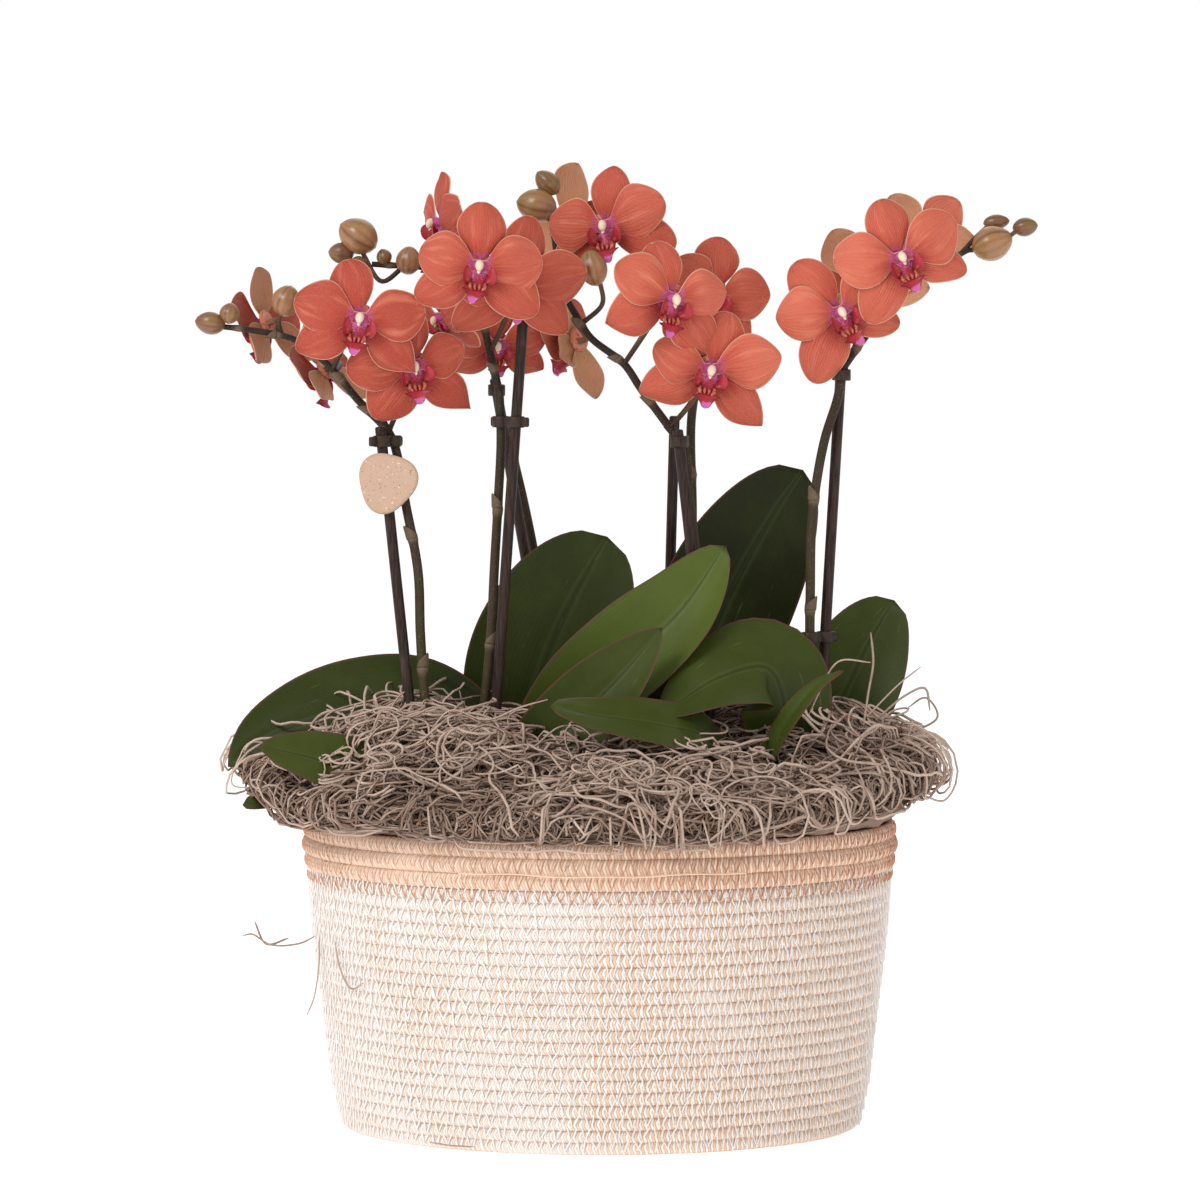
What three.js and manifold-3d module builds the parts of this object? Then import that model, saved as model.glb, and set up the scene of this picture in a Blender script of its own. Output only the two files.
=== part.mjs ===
// A moth orchid arrangement: three potted plants with six flower spikes, in a round basket of stitched rope.
// Millimetres, +Z up, front towards -Y. The origin is the middle of the basket's underside.
import * as THREE from "three";
import { mergeVertices } from "three/addons/utils/BufferGeometryUtils.js";
import { ParametricGeometry } from "three/addons/geometries/ParametricGeometry.js";
import Module from "manifold-3d";

const wasm = await Module();
wasm.setup();

// Driving dimensions: basket
const basketHeight = 125;
const bandHeight = 18.6;
const rimRadius = 121.5;
const baseRadius = 106;
const ropeThickness = 5;
const gap = 0.3;
const basketSides = 48;

// Driving dimensions: liner with the water reservoir, pots and bark
const linerThickness = 1.2;
const linerHeight = 98;
const padRadius = 26;
const reservoirDepth = 14;
const potSpread = { side: 58, front: 20, back: 50 };
const potHeight = 90;
const potRimRadius = 45;
const potTopRadius = 43.5;
const potFootRadius = 32;
const potWall = 1.5;
const potSides = 24;
const drainRadius = 6;
const barkTop = 114.5;

// Driving dimensions: plants
const stemRadius = 2.1;
const rachisRadius = 1.8;
const pedicelRadius = 1.3;
const stickRadius = 2.2;
const stickFoot = 50;
const leafThickness = 2.4;
const petalThickness = 1.6;
const calyxDepth = petalThickness + 0.6;
const stalkNeck = 6;
const clipHeight = 5.2;
const clipDepth = 7;

// Driving dimensions: moss and tag
const mossUnderside = barkTop + gap;
const mossInside = 111;
const mossRim = { front: 128, left: 149, right: 139 };
const mossTop = { middle: 158, sides: 176, edge: 132, sideEdge: 150 };
const tagWidth = 23.6;
const tagHeight = 24.6;
const tagThickness = 1.5;

const linerFloor = ropeThickness + gap + linerThickness;
const potFoot = linerFloor + reservoirDepth + gap;
const crowns = {
  west: [-potSpread.side, -potSpread.front],
  north: [0, potSpread.back],
  east: [potSpread.side, -potSpread.front],
};

const materials = {
  cottonRope: { color: 0xf3dfcf, roughness: 0.95, metalness: 0 },
  juteRope: { color: 0xdcb28a, roughness: 0.95, metalness: 0 },
  linerFilm: { color: 0x3a3a3c, roughness: 0.5, metalness: 0 },
  potPlastic: { color: 0x4a3327, roughness: 0.45, metalness: 0 },
  bark: { color: 0x5a4130, roughness: 0.95, metalness: 0 },
  moss: { color: 0xa8917f, roughness: 1, metalness: 0 },
  stem: { color: 0x554830, roughness: 0.6, metalness: 0 },
  stick: { color: 0x3e2c2c, roughness: 0.5, metalness: 0 },
  clip: { color: 0x46372d, roughness: 0.45, metalness: 0 },
  tag: { color: 0xdcc0a0, roughness: 0.9, metalness: 0 },
  petal: { color: 0xd66850, roughness: 0.7, metalness: 0 },
  leaf: { color: 0x3c5526, roughness: 0.4, metalness: 0 },
};

// Each spike: the stem and the rachis that goes on from it, the stalk of each of its flowers up to the flower's back,
// the stalks of its buds, the buds, its stick and the clips that tie the two.
const spikes = {
  far_left: {
    stem: [
      [-60, -30, 115.4],
      [-66, -31, 145],
      [-71, -30, 176],
      [-73, -27, 203],
      [-74, -24, 228],
      [-79, -20, 255],
      [-84, -15, 280],
      [-89, -13, 289],
    ],
    rachis: [
      [-88, -13, 287],
      [-99, -12, 298],
      [-109, -11, 310],
      [-124, -10, 322],
      [-145, -10, 326.5],
      [-154, -10, 327.5],
    ],
    pedicels: {
      flower_far_left_1: [[-109, -11, 310], [-102, -26, 324]],
      flower_far_left_2: [[-86, -14, 285], [-80, -20, 300]],
      flower_far_left_3: [[-132, -10, 323.5], [-131.5, -2, 329]],
      flower_far_left_4: [[-108, -11, 309], [-106.5, 2, 312]],
    },
    budStalks: [[[-130, -10, 324], [-131, -11, 330], [-128, -12, 336]]],
    buds: [
      { at: [-159, -10, 329], size: [6.4, 4.6, 4.6] },
      { at: [-151, -11, 333], size: [4.2, 4.2, 4.4] },
      { at: [-128, -12, 338], size: [6, 5.6, 6.8] },
    ],
    stick: [[-64, -40, stickFoot], [-89.5, -19, 287]],
    clips: [{ height: 281, width: 10, shift: 0 }],
  },
  left: {
    stem: [
      [-55, -13, 115.4],
      [-50, -16, 145],
      [-47, -19, 175],
      [-44.5, -20, 200],
      [-43, -20, 230],
      [-41.5, -20, 256],
      [-40.3, -20, 282],
      [-41, -20, 302],
    ],
    rachis: [
      [-40.8, -20, 300],
      [-45.5, -14, 320],
      [-50, -8, 337],
      [-60, -8, 348],
      [-74, -9, 352],
      [-84, -11, 352.5],
      [-93, -12, 353],
    ],
    pedicels: {
      flower_left_1: [[-56, -8, 344], [-47, -24, 364], [-46.5, -38, 363]],
      flower_left_2: [[-44.8, -15, 317], [-38, -19, 332]],
      flower_left_3: [[-54, -8, 341], [-51, 3, 360]],
      flower_left_4: [[-47, -12, 326], [-52, -5, 331]],
    },
    budStalks: [[[-80, -10, 352], [-89, -12, 346], [-97, -12, 358]]],
    buds: [
      { at: [-98.6, -12, 364.5], size: [8.2, 7.6, 7.6] },
      { at: [-105.5, -12, 357.5], size: [5.2, 4.4, 4.4] },
      { at: [-98.5, -13, 352.8], size: [4, 3.6, 3.6] },
      { at: [-78, -13, 354.5], size: [5.2, 5.2, 6] },
      { at: [-88, -12, 356], size: [3.2, 3.2, 3.4] },
    ],
    stick: [[-50.8, -26, stickFoot], [-31.9, -25.6, 321]],
    clips: [{ height: 289, width: 18, shift: 2 }],
  },
  middle: {
    stem: [
      [-9, 45, 115.2],
      [-14, 42, 160],
      [-22, 39, 200],
      [-27, 37, 231],
      [-32, 34, 256],
      [-38, 30, 281],
      [-42.5, 28.5, 298],
      [-43.5, 28, 312],
    ],
    rachis: [
      [-43.4, 28, 308],
      [-42, 28, 325],
      [-38, 30, 338],
      [-34, 30, 346],
    ],
    pedicels: { flower_middle_1: [[-42.5, 28, 322], [-42, 22, 323]] },
    budStalks: [],
    buds: [{ at: [-32.4, 30, 349.6], size: [4.4, 4.4, 5.2] }],
    stick: [[0, 48, stickFoot], [-43.5, 19.6, 306]],
    clips: [{ height: 301, width: 14.4, shift: -0.4 }],
  },
  centre: {
    stem: [
      [50, -16, 115.3],
      [48, -20, 145],
      [45.5, -22, 168],
      [41.5, -22, 210],
      [38.7, -22, 238],
      [36.6, -22, 257],
      [33.8, -22, 279],
      [27.2, -22, 288],
    ],
    rachis: [
      [28, -22, 287],
      [16.7, -20, 302.3],
      [9.8, -17, 312.4],
      [-3.7, -12, 323],
      [-9, -9, 331],
      [-14, -4, 340],
      [-17, 2, 352],
      [-19, 6, 365],
      [-21, 8, 375],
    ],
    pedicels: {
      flower_centre_1: [[-19, 6, 362], [-10, 9, 368], [-1, 6, 369]],
      flower_centre_2: [[9.8, -17, 312.4], [18, -32, 325]],
      flower_centre_4: [[28, -22, 286], [37, -27, 297]],
      flower_centre_5: [[-19.5, 7, 366], [-17.5, 16, 371]],
      flower_centre_6: [[-9.5, -8.5, 331], [-10.5, 4, 330]],
    },
    budStalks: [[[-7, -10, 329], [1, -15, 337], [0, -17, 346]]],
    buds: [
      { at: [-21.5, 8, 386.6], size: [5.4, 4.8, 5.4] },
      { at: [-26, 6, 377], size: [8.4, 7, 7] },
      { at: [-2.8, -17, 351.5], size: [5.4, 5.4, 7.4] },
    ],
    stick: [[58.3, -28, stickFoot], [31.5, -28, 286]],
    clips: [{ height: 281, width: 15, shift: -3 }],
  },
  centre_back: {
    stem: [
      [18, 53, 115.8],
      [32, 50, 150],
      [38, 47, 200],
      [38.5, 45, 250],
      [38, 43, 288],
      [41, 38, 308],
    ],
    rachis: [
      [40.7, 38.5, 306],
      [46, 33, 326],
      [50, 30, 342],
      [52, 29, 352],
    ],
    pedicels: { flower_centre_3: [[49, 31, 338], [48.5, 26, 341]] },
    budStalks: [],
    buds: [{ at: [53, 29, 356], size: [4.2, 4.2, 5.2] }],
    stick: [[24.5, 44, stickFoot], [31, 40, 290]],
    clips: [],
  },
  right: {
    stem: [
      [66, -16, 115.8],
      [78, -19, 145],
      [84.6, -20, 180],
      [85.6, -20, 215],
      [86, -20, 243],
      [87.5, -20, 260],
      [91.5, -20, 282],
      [96.5, -20, 298],
      [99.5, -20, 313],
    ],
    rachis: [
      [99.2, -20, 311.5],
      [106, -17.5, 321],
      [114, -12, 331],
      [124.5, -6, 342.5],
      [137, -2, 351.4],
      [151, 0, 359],
    ],
    pedicels: {
      flower_right_1: [[104.5, -18, 319], [101, -20.5, 327]],
      flower_right_2: [[123, -7, 341.5], [126, -22, 354]],
      flower_right_3: [[113, -13, 329.5], [110, -3, 340]],
      flower_right_4: [[135, -2.5, 350.5], [133, 3, 358]],
    },
    budStalks: [
      [[148, -0.5, 357.6], [154, 3, 364], [160, 4, 369.5]],
      [[150, 0, 358.6], [161, 1, 360], [171, 0, 367]],
    ],
    buds: [
      { at: [160.5, -2, 361.5], size: [8.4, 7, 7.4] },
      { at: [162.5, 5, 370.2], size: [5, 3.4, 2.8] },
      { at: [174, 0, 368.2], size: [5.2, 3.8, 3.9] },
    ],
    stick: [[83.2, -14, stickFoot], [98.3, -14, 311]],
    clips: [
      { height: 201, width: 15, shift: 0 },
      { height: 308, width: 11, shift: 0 },
    ],
  },
};

// Each flower: the point where its petals meet, the way it faces, its width, and its turn in its own plane in
// degrees, with the clock as negative.
const flowers = {
  flower_far_left_1: { at: [-96.5, -46, 331], faces: [-0.05, -1, -0.05], span: 55, roll: 0 },
  flower_far_left_2: { at: [-74.5, -34, 308.5], faces: [0.15, -0.95, -0.2], span: 53, roll: 12 },
  flower_far_left_3: { at: [-138, 12, 328], faces: [-0.75, 0.6, -0.2], span: 46, roll: 0 },
  flower_far_left_4: { at: [-114, 14, 308.5], faces: [-0.7, 0.4, -0.55], span: 42, roll: 0 },
  flower_left_1: { at: [-48.4, -54, 352], faces: [0, -1, -0.05], span: 53, roll: -3 },
  flower_left_2: { at: [-34.2, -34, 344], faces: [0.12, -0.97, -0.1], span: 56, roll: -8 },
  flower_left_3: { at: [-65.5, 14, 369.5], faces: [-0.93, -0.35, -0.1], span: 48, roll: 0 },
  flower_left_4: { at: [-64.5, -4, 331], faces: [-0.8, -0.45, -0.4], span: 42, roll: 0 },
  flower_middle_1: { at: [-42, 10, 320], faces: [0.05, -0.93, -0.36], span: 44, roll: 0 },
  flower_centre_1: { at: [2, -8, 368.2], faces: [-0.2, -0.97, -0.05], span: 51, roll: 4 },
  flower_centre_2: { at: [29, -54.6, 339], faces: [0.3, -0.93, -0.2], span: 50, roll: 10 },
  flower_centre_3: { at: [47, 14, 340], faces: [0.1, -1, 0], span: 50, roll: -8 },
  flower_centre_4: { at: [44.8, -42, 310.5], faces: [0, -0.97, -0.2], span: 57, roll: -12 },
  flower_centre_5: { at: [-14, 31, 369], faces: [0.15, 0.97, 0.1], span: 48, roll: 0 },
  flower_centre_6: { at: [-10, 21.5, 321], faces: [0.15, 0.95, -0.25], span: 46, roll: 0 },
  flower_right_1: { at: [97.5, -30, 333.5], faces: [0.15, -0.97, -0.1], span: 56, roll: 34 },
  flower_right_2: { at: [121.5, -42, 355.5], faces: [0.1, -0.98, -0.05], span: 56, roll: 25 },
  flower_right_3: { at: [106, 10, 345.3], faces: [-0.15, 0.97, 0.05], span: 46, roll: -30 },
  flower_right_4: { at: [131, 14, 362.9], faces: [0.2, 0.95, 0], span: 48, roll: -30 },
};

// Each leaf: its midrib from the crown to the tip, the way its upper side faces, also at the tip where the leaf
// turns, its greatest width, and how far its edges rise from the midrib as a share of the half width.
const leaves = {
  leaf_west_long: {
    midrib: [
      [-58, -6, 115.2],
      [-61, -7, 134],
      [-68, -8, 150],
      [-80, -9, 162],
      [-98, -11, 170],
      [-120, -14, 171],
      [-138, -16, 166],
      [-150, -18, 156],
    ],
    faces: [0.1, -0.9, 0.45],
    width: 52,
    fold: 0.16,
  },
  leaf_west_low: {
    midrib: [
      [-62, -43, 115.2],
      [-76, -46, 133],
      [-96, -51, 147],
      [-115, -56, 155],
      [-134, -58, 161],
    ],
    faces: [-0.1, -0.75, 0.65],
    width: 27,
    fold: 0.1,
  },
  leaf_west_small: {
    midrib: [
      [-70, -14, 115.2],
      [-97, -8, 131],
      [-122, -4, 137],
      [-147, 0, 131],
    ],
    faces: [0, -0.5, 0.87],
    width: 24,
    fold: 0.1,
  },
  leaf_west_back: {
    midrib: [
      [-38, 8, 115.2],
      [-34, 8.5, 150],
      [-24, 8.5, 183],
      [-12, 9, 212],
      [3, 10, 240],
    ],
    faces: [0.1, -0.95, 0.25],
    width: 60,
    fold: 0.16,
  },
  leaf_west_bright: {
    midrib: [
      [-36, -31, 115.2],
      [-30, -31, 148],
      [-12, -31, 174],
      [12, -33, 195],
      [31, -34, 213],
      [50, -34, 239],
    ],
    faces: [-0.1, -0.9, 0.4],
    width: 46,
    fold: 0.3,
  },
  leaf_west_young: {
    midrib: [
      [-46, -36, 115.2],
      [-30, -43, 148],
      [-6, -49, 172],
      [11, -52, 190],
      [25, -54, 207],
    ],
    faces: [-0.15, -0.9, 0.3],
    width: 33,
    fold: 0.3,
  },
  leaf_north_tall: {
    midrib: [
      [12, 38, 115.2],
      [24, 36, 150],
      [42, 33, 190],
      [58, 30, 225],
      [72, 27, 250],
      [84, 25, 268],
    ],
    faces: [0.1, -0.96, 0.25],
    width: 57,
    fold: 0.14,
  },
  leaf_north_back: {
    midrib: [
      [-14, 60, 115.2],
      [-24, 70, 143],
      [-40, 84, 161],
      [-58, 94, 166],
      [-78, 102, 158],
    ],
    faces: [0.3, -0.4, 0.87],
    width: 44,
    fold: 0.16,
  },
  leaf_east_low: {
    midrib: [
      [44, -38, 115.2],
      [40, -53, 142],
      [25, -69, 163],
      [3, -78, 172],
      [-20, -81, 176],
    ],
    faces: [0.1, -0.9, 0.45],
    width: 31,
    fold: 0.12,
  },
  leaf_east_arching: {
    midrib: [
      [60, -32, 115.2],
      [69, -34, 145],
      [75, -38, 172],
      [68, -44, 190],
      [49, -52, 187],
      [25, -59, 172],
    ],
    faces: [1, -0.25, 0],
    tipFaces: [-0.35, -0.55, 0.75],
    width: 45,
    fold: 0.1,
  },
  leaf_east_strap: {
    midrib: [
      [72, -38, 115.2],
      [72, -54, 148],
      [82, -62, 172],
      [91, -63, 185],
      [98, -61, 190],
    ],
    faces: [-0.6, -0.5, 0.6],
    width: 15,
    fold: 0.25,
  },
  leaf_east_round: {
    midrib: [
      [78, -6, 115.2],
      [88, 0, 150],
      [102, 4, 180],
      [112, 6, 200],
      [121, 6, 215],
    ],
    faces: [-0.1, -0.95, 0.2],
    width: 44,
    fold: 0.12,
  },
};

// Solids and meshes

const arrangement = new THREE.Group();
const mergeDistance = 1e-3;

function add(name, finish, geometry) {
  const mesh = new THREE.Mesh(geometry, new THREE.MeshStandardMaterial(materials[finish]));
  mesh.name = name;
  arrangement.add(mesh);
  return mesh;
}

// Six times the volume that a triangle spans with the origin.
function spanned(position, a, b, c) {
  const [p, q, r] = [a, b, c].map((i) => new THREE.Vector3().fromBufferAttribute(position, i));
  return p.dot(q.cross(r));
}

// A closed geometry with only positions, its seams merged, its flattened faces dropped and the rest facing out.
function closed(geometry) {
  const bare = new THREE.BufferGeometry();
  bare.setAttribute("position", geometry.getAttribute("position"));
  bare.setIndex(geometry.getIndex());
  const merged = mergeVertices(bare, mergeDistance);
  const corners = merged.getIndex().array;
  const kept = [];
  let volume = 0;
  for (let i = 0; i < corners.length; i += 3) {
    const [a, b, c] = corners.slice(i, i + 3);
    if (a === b || b === c || c === a) continue;
    kept.push(a, b, c);
    volume += spanned(merged.getAttribute("position"), a, b, c);
  }
  if (volume < 0) kept.reverse();
  merged.setIndex(kept);
  merged.computeVertexNormals();
  return merged;
}

function solidFrom(geometry) {
  const clean = closed(geometry);
  return new wasm.Manifold(
    new wasm.Mesh({
      numProp: 3,
      vertProperties: new Float32Array(clean.getAttribute("position").array),
      triVerts: new Uint32Array(clean.getIndex().array),
    }),
  );
}

function geometryFrom(solid) {
  const mesh = solid.getMesh();
  const geometry = new THREE.BufferGeometry();
  geometry.setAttribute("position", new THREE.BufferAttribute(mesh.vertProperties, 3));
  geometry.setIndex(new THREE.BufferAttribute(mesh.triVerts, 1));
  geometry.computeVertexNormals();
  return geometry;
}

function joined(solids) {
  return solids.reduce((sum, solid) => sum.add(solid));
}

function largestBody(solid) {
  const bodies = solid.decompose();
  return bodies.reduce((best, body) => (body.volume() > best.volume() ? body : best));
}

// A surface of revolution about Z, from its outline as radius and height pairs.
function turned(outline, sides) {
  const points = outline.map(([radius, height]) => new THREE.Vector2(radius, height));
  return new THREE.LatheGeometry(points, sides).rotateX(Math.PI / 2);
}

function circle(radius, sides) {
  const shape = new THREE.Shape();
  for (let i = 0; i < sides; i++) {
    const angle = (2 * Math.PI * i) / sides;
    const point = [radius * Math.cos(angle), radius * Math.sin(angle)];
    if (i === 0) shape.moveTo(...point);
    else shape.lineTo(...point);
  }
  shape.closePath();
  return shape;
}

// A round rod of one radius that follows the points.
function rod(points, radius, sides, stepsPerPoint = 1) {
  const path = new THREE.CatmullRomCurve3(points.map((p) => new THREE.Vector3(...p)));
  const steps = Math.max(1, (points.length - 1) * stepsPerPoint);
  return new THREE.ExtrudeGeometry(circle(radius, sides), { extrudePath: path, steps, curveSegments: 1 });
}

function ellipsoid(at, size) {
  return new THREE.SphereGeometry(1, 8, 4).scale(...size).translate(...at);
}

// Basket

const wallOutline = [
  [0, 0],
  [baseRadius - 3, 0],
  [baseRadius + 1, 3],
  [baseRadius + 4.5, 20],
  [baseRadius + 7, 40],
  [baseRadius + 9.5, 60],
  [baseRadius + 12, 80],
  [rimRadius - 1.5, basketHeight - bandHeight - gap],
];

function basketWall() {
  const inner = wallOutline
    .slice(2)
    .map(([radius, height]) => [radius - ropeThickness, Math.max(height, ropeThickness)])
    .reverse();
  return turned([...wallOutline, ...inner, [0, ropeThickness]], basketSides);
}

function rimBand() {
  const foot = basketHeight - bandHeight;
  const inner = rimRadius - ropeThickness;
  return turned(
    [
      [inner, foot],
      [rimRadius - 1.2, foot],
      [rimRadius + 1, foot + 7],
      [rimRadius, basketHeight - 1.5],
      [rimRadius - 1.6, basketHeight],
      [inner + 0.8, basketHeight],
      [inner, foot],
    ],
    basketSides,
  );
}

// Radius of the wall's inner face at a height, by straight lines between the outline's points.
function insideRadius(height) {
  const upper = wallOutline.findIndex(([, z], i) => i > 1 && z >= height);
  const [r0, z0] = wallOutline[upper - 1];
  const [r1, z1] = wallOutline[upper];
  return r0 + ((r1 - r0) * (height - z0)) / (z1 - z0) - ropeThickness;
}

// Liner and pots

// A thin cup with a raised pad under each pot, which keeps the pots out of the water.
function liner() {
  const foot = ropeThickness + gap;
  const outside = [foot, 30, 60, linerHeight].map((z) => [insideRadius(Math.max(z, 4)) - 2 * gap, z]);
  const inside = outside.map(([radius, z]) => [radius - linerThickness, Math.max(z, linerFloor)]).reverse();
  const cup = solidFrom(turned([[0, foot], ...outside, ...inside, [0, linerFloor]], basketSides));
  const height = reservoirDepth + linerThickness / 2;
  const pads = Object.values(crowns).map(([x, y]) =>
    solidFrom(
      new THREE.CylinderGeometry(padRadius, padRadius + 2, height, potSides)
        .rotateX(Math.PI / 2)
        .translate(x, y, potFoot - gap - height / 2),
    ),
  );
  return geometryFrom(joined([cup, ...pads]));
}

function pot() {
  const lip = potFoot + potHeight;
  const floor = potFoot + potWall;
  return turned(
    [
      [drainRadius, potFoot],
      [potFootRadius, potFoot],
      [potTopRadius, lip - 6],
      [potRimRadius, lip - 6],
      [potRimRadius, lip],
      [potTopRadius - potWall, lip],
      [potFootRadius - potWall, floor],
      [drainRadius, floor],
      [drainRadius, potFoot],
    ],
    potSides,
  );
}

function bark(sticks) {
  const foot = potFoot + potWall + gap;
  const plug = turned(
    [
      [0, foot],
      [potFootRadius - potWall - 2 * gap, foot],
      [potTopRadius - potWall - 2 * gap, potFoot + potHeight - 2],
      [potTopRadius - 8, barkTop],
      [0, barkTop],
    ],
    potSides,
  );
  return sticks.reduce((rest, hole) => rest.subtract(hole), solidFrom(plug));
}

// Spikes, sticks and clips

// The point behind a flower, at a distance from where its petals meet.
function behindFlower({ at, faces }, distance) {
  const away = new THREE.Vector3(...faces).setLength(distance);
  return new THREE.Vector3(...at).sub(away).toArray();
}

function spike({ stem, rachis, pedicels, budStalks, buds }) {
  const stalks = Object.entries(pedicels).map(([name, points]) => [
    ...points,
    behindFlower(flowers[name], stalkNeck),
    behindFlower(flowers[name], calyxDepth + gap),
  ]);
  const pieces = [
    stemRod(stem, 0),
    rod(rachis, rachisRadius, 6),
    ...[...stalks, ...budStalks].map((points) => rod(points, pedicelRadius, 5, 2)),
    ...buds.map(({ at, size }) => ellipsoid(at, size)),
  ];
  return joined(pieces.map(solidFrom));
}

// The same points with the first one moved down.
function rooted([[x, y, z], ...rest], depth) {
  return [[x, y, z - depth], ...rest];
}

function stickRod(stick, clearance) {
  return rod(rooted(stick, clearance), stickRadius + clearance, 8);
}

function stemRod(stem, clearance) {
  return rod(rooted(stem, clearance), stemRadius + clearance, 7);
}

// Where a line of points has the given height.
function pointAtHeight(points, height) {
  const upper = points.findIndex(([, , z]) => z >= height);
  const end = new THREE.Vector3(...points[upper]);
  const start = new THREE.Vector3(...points[upper - 1]);
  return start.lerp(end, (height - start.z) / (end.z - start.z));
}

function clip({ stem, stick }, { height, width, shift }) {
  const onStem = pointAtHeight(stem, height);
  const onStick = pointAtHeight(stick, height);
  const depth = Math.abs(onStick.y - onStem.y) + clipDepth;
  const middle = onStem.add(onStick).multiplyScalar(0.5);
  const block = new THREE.BoxGeometry(width, depth, clipHeight).translate(middle.x + shift, middle.y, middle.z);
  return solidFrom(block)
    .subtract(solidFrom(stemRod(stem, gap)))
    .subtract(solidFrom(stickRod(stick, gap)));
}

// An egg-shaped tag that faces the front and hangs against the stick.
function tag({ stick }, height) {
  const behind = pointAtHeight(stick, height);
  const [[, lowY, lowZ], [, highY, highZ]] = stick;
  const lean = Math.atan2(highY - lowY, highZ - lowZ);
  const outline = new THREE.Shape();
  const points = 20;
  for (let i = 0; i < points; i++) {
    const angle = (2 * Math.PI * i) / points;
    const x = (tagWidth / 2) * Math.cos(angle) * (1 + 0.12 * Math.sin(angle));
    const y = (tagHeight / 2) * Math.sin(angle);
    if (i === 0) outline.moveTo(x, y);
    else outline.lineTo(x, y);
  }
  outline.closePath();
  return new THREE.ExtrudeGeometry(outline, { depth: tagThickness, bevelEnabled: false })
    .rotateZ(-0.35)
    .rotateX(Math.PI / 2 - lean)
    .translate(behind.x + 0.6, behind.y - stickRadius - 2 * gap, height);
}

// Flowers

// Reach of the bloom in each direction, as a share of its half width: a sepal at the top and two low ones, with a
// broad petal on each side. Directions go round from the right in steps of 18 degrees.
const bloomReach = [
  0.98, 1, 0.95, 0.62, 0.86, 0.93, 0.86, 0.62, 0.95, 1, 0.98, 0.72, 0.8, 0.94, 0.84, 0.6, 0.84, 0.94, 0.8, 0.72,
];

function bloom(span) {
  const steps = bloomReach.length;
  const rings = [
    { reach: 0, height: 6.5 },
    { reach: 0.2, height: 5 },
    { reach: 0.32, height: 0 },
    { reach: 1, height: -1.5 },
    { reach: 0.5, height: -petalThickness },
    { reach: 0, height: -calyxDepth },
  ];
  const surface = (u, v, target) => {
    const ring = rings[Math.round(v * (rings.length - 1))];
    const angle = 2 * Math.PI * u;
    const radius = (ring.reach * bloomReach[Math.round(u * steps) % steps] * span) / 2;
    target.set(radius * Math.cos(angle), radius * Math.sin(angle), ring.height);
  };
  return closed(new ParametricGeometry(surface, steps, rings.length - 1));
}

function addFlower(name, { at, faces, span, roll }) {
  const mesh = add(name, "petal", bloom(span));
  const aim = new THREE.Vector3(...at).add(new THREE.Vector3(...faces));
  mesh.position.set(...at);
  mesh.up.set(0, 0, 1);
  mesh.lookAt(aim);
  mesh.rotateZ(THREE.MathUtils.degToRad(roll));
}

// Leaves

// Width along a leaf as a share of the greatest, narrow at the sheath and rounded to a short point at the tip.
function leafWidth(along) {
  const belly = Math.pow(Math.sin(Math.PI * Math.pow(along, 1.35)), 0.7);
  return Math.max(belly, along < 0.5 ? 0.24 : 0);
}

function leaf({ midrib, faces, tipFaces = faces, width, fold }, clearance) {
  const path = new THREE.CatmullRomCurve3(midrib.map((p) => new THREE.Vector3(...p)));
  const surface = (u, v, target) => {
    const centre = path.getPointAt(v);
    const tangent = path.getTangentAt(v);
    if (v === 0) {
      target.copy(centre).addScaledVector(tangent, -2 * clearance);
      return;
    }
    if (v === 1) {
      target.copy(centre).addScaledVector(tangent, 3 * clearance);
      return;
    }
    const upper = new THREE.Vector3(...faces).lerp(new THREE.Vector3(...tipFaces), v);
    const across = tangent.clone().cross(upper).normalize();
    const normal = across.clone().cross(tangent).normalize();
    const angle = 2 * Math.PI * u;
    const half = (width / 2) * leafWidth(v) + clearance;
    const rise = fold * half * Math.pow(Math.abs(Math.cos(angle)), 1.5);
    target
      .copy(centre)
      .addScaledVector(across, half * Math.cos(angle))
      .addScaledVector(normal, rise + (leafThickness / 2 + clearance) * Math.sin(angle));
  };
  return closed(new ParametricGeometry(surface, 8, 10));
}

// Moss

// A ragged mound over the pots and the rim, which hangs out furthest at the left and the right.
function mossMound() {
  const rings = [
    { reach: 0, top: 0 },
    { reach: 0.35, top: 0.1 },
    { reach: 0.65, top: 0.35 },
    { reach: 0.88, top: 0.75 },
    { reach: 1, top: 1 },
  ];
  const underside = [
    [1, 128],
    [null, basketHeight + gap],
    [null, mossUnderside],
    [0, mossUnderside],
  ];
  const ringCount = rings.length + underside.length;
  const surface = (u, v, target) => {
    const angle = 2 * Math.PI * u;
    const side = Math.cos(angle);
    const toSide = Math.pow(Math.abs(side), 3);
    const rim = mossRim.front + ((side < 0 ? mossRim.left : mossRim.right) - mossRim.front) * toSide;
    const edge = mossTop.edge + (mossTop.sideEdge - mossTop.edge) * toSide;
    const i = Math.round(v * (ringCount - 1));
    let radius;
    let height;
    if (i < rings.length) {
      const shoulder = side * side * Math.min(1, 2 * rings[i].reach);
      const crest = mossTop.middle + (mossTop.sides - mossTop.middle) * shoulder;
      radius = rings[i].reach * rim;
      height = crest + (edge - crest) * rings[i].top;
    } else {
      const [reach, level] = underside[i - rings.length];
      height = level;
      radius = reach === null ? mossInside : reach * (rim - 1);
      if (i === rings.length + 1) radius = mossInside + 1;
    }
    target.set(radius * Math.cos(angle), radius * Math.sin(angle), height);
  };
  return closed(new ParametricGeometry(surface, 36, ringCount - 1));
}

// Assembly

add("basket_wall", "cottonRope", closed(basketWall()));
add("rim_band", "juteRope", closed(rimBand()));
add("reservoir_liner", "linerFilm", liner());

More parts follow.
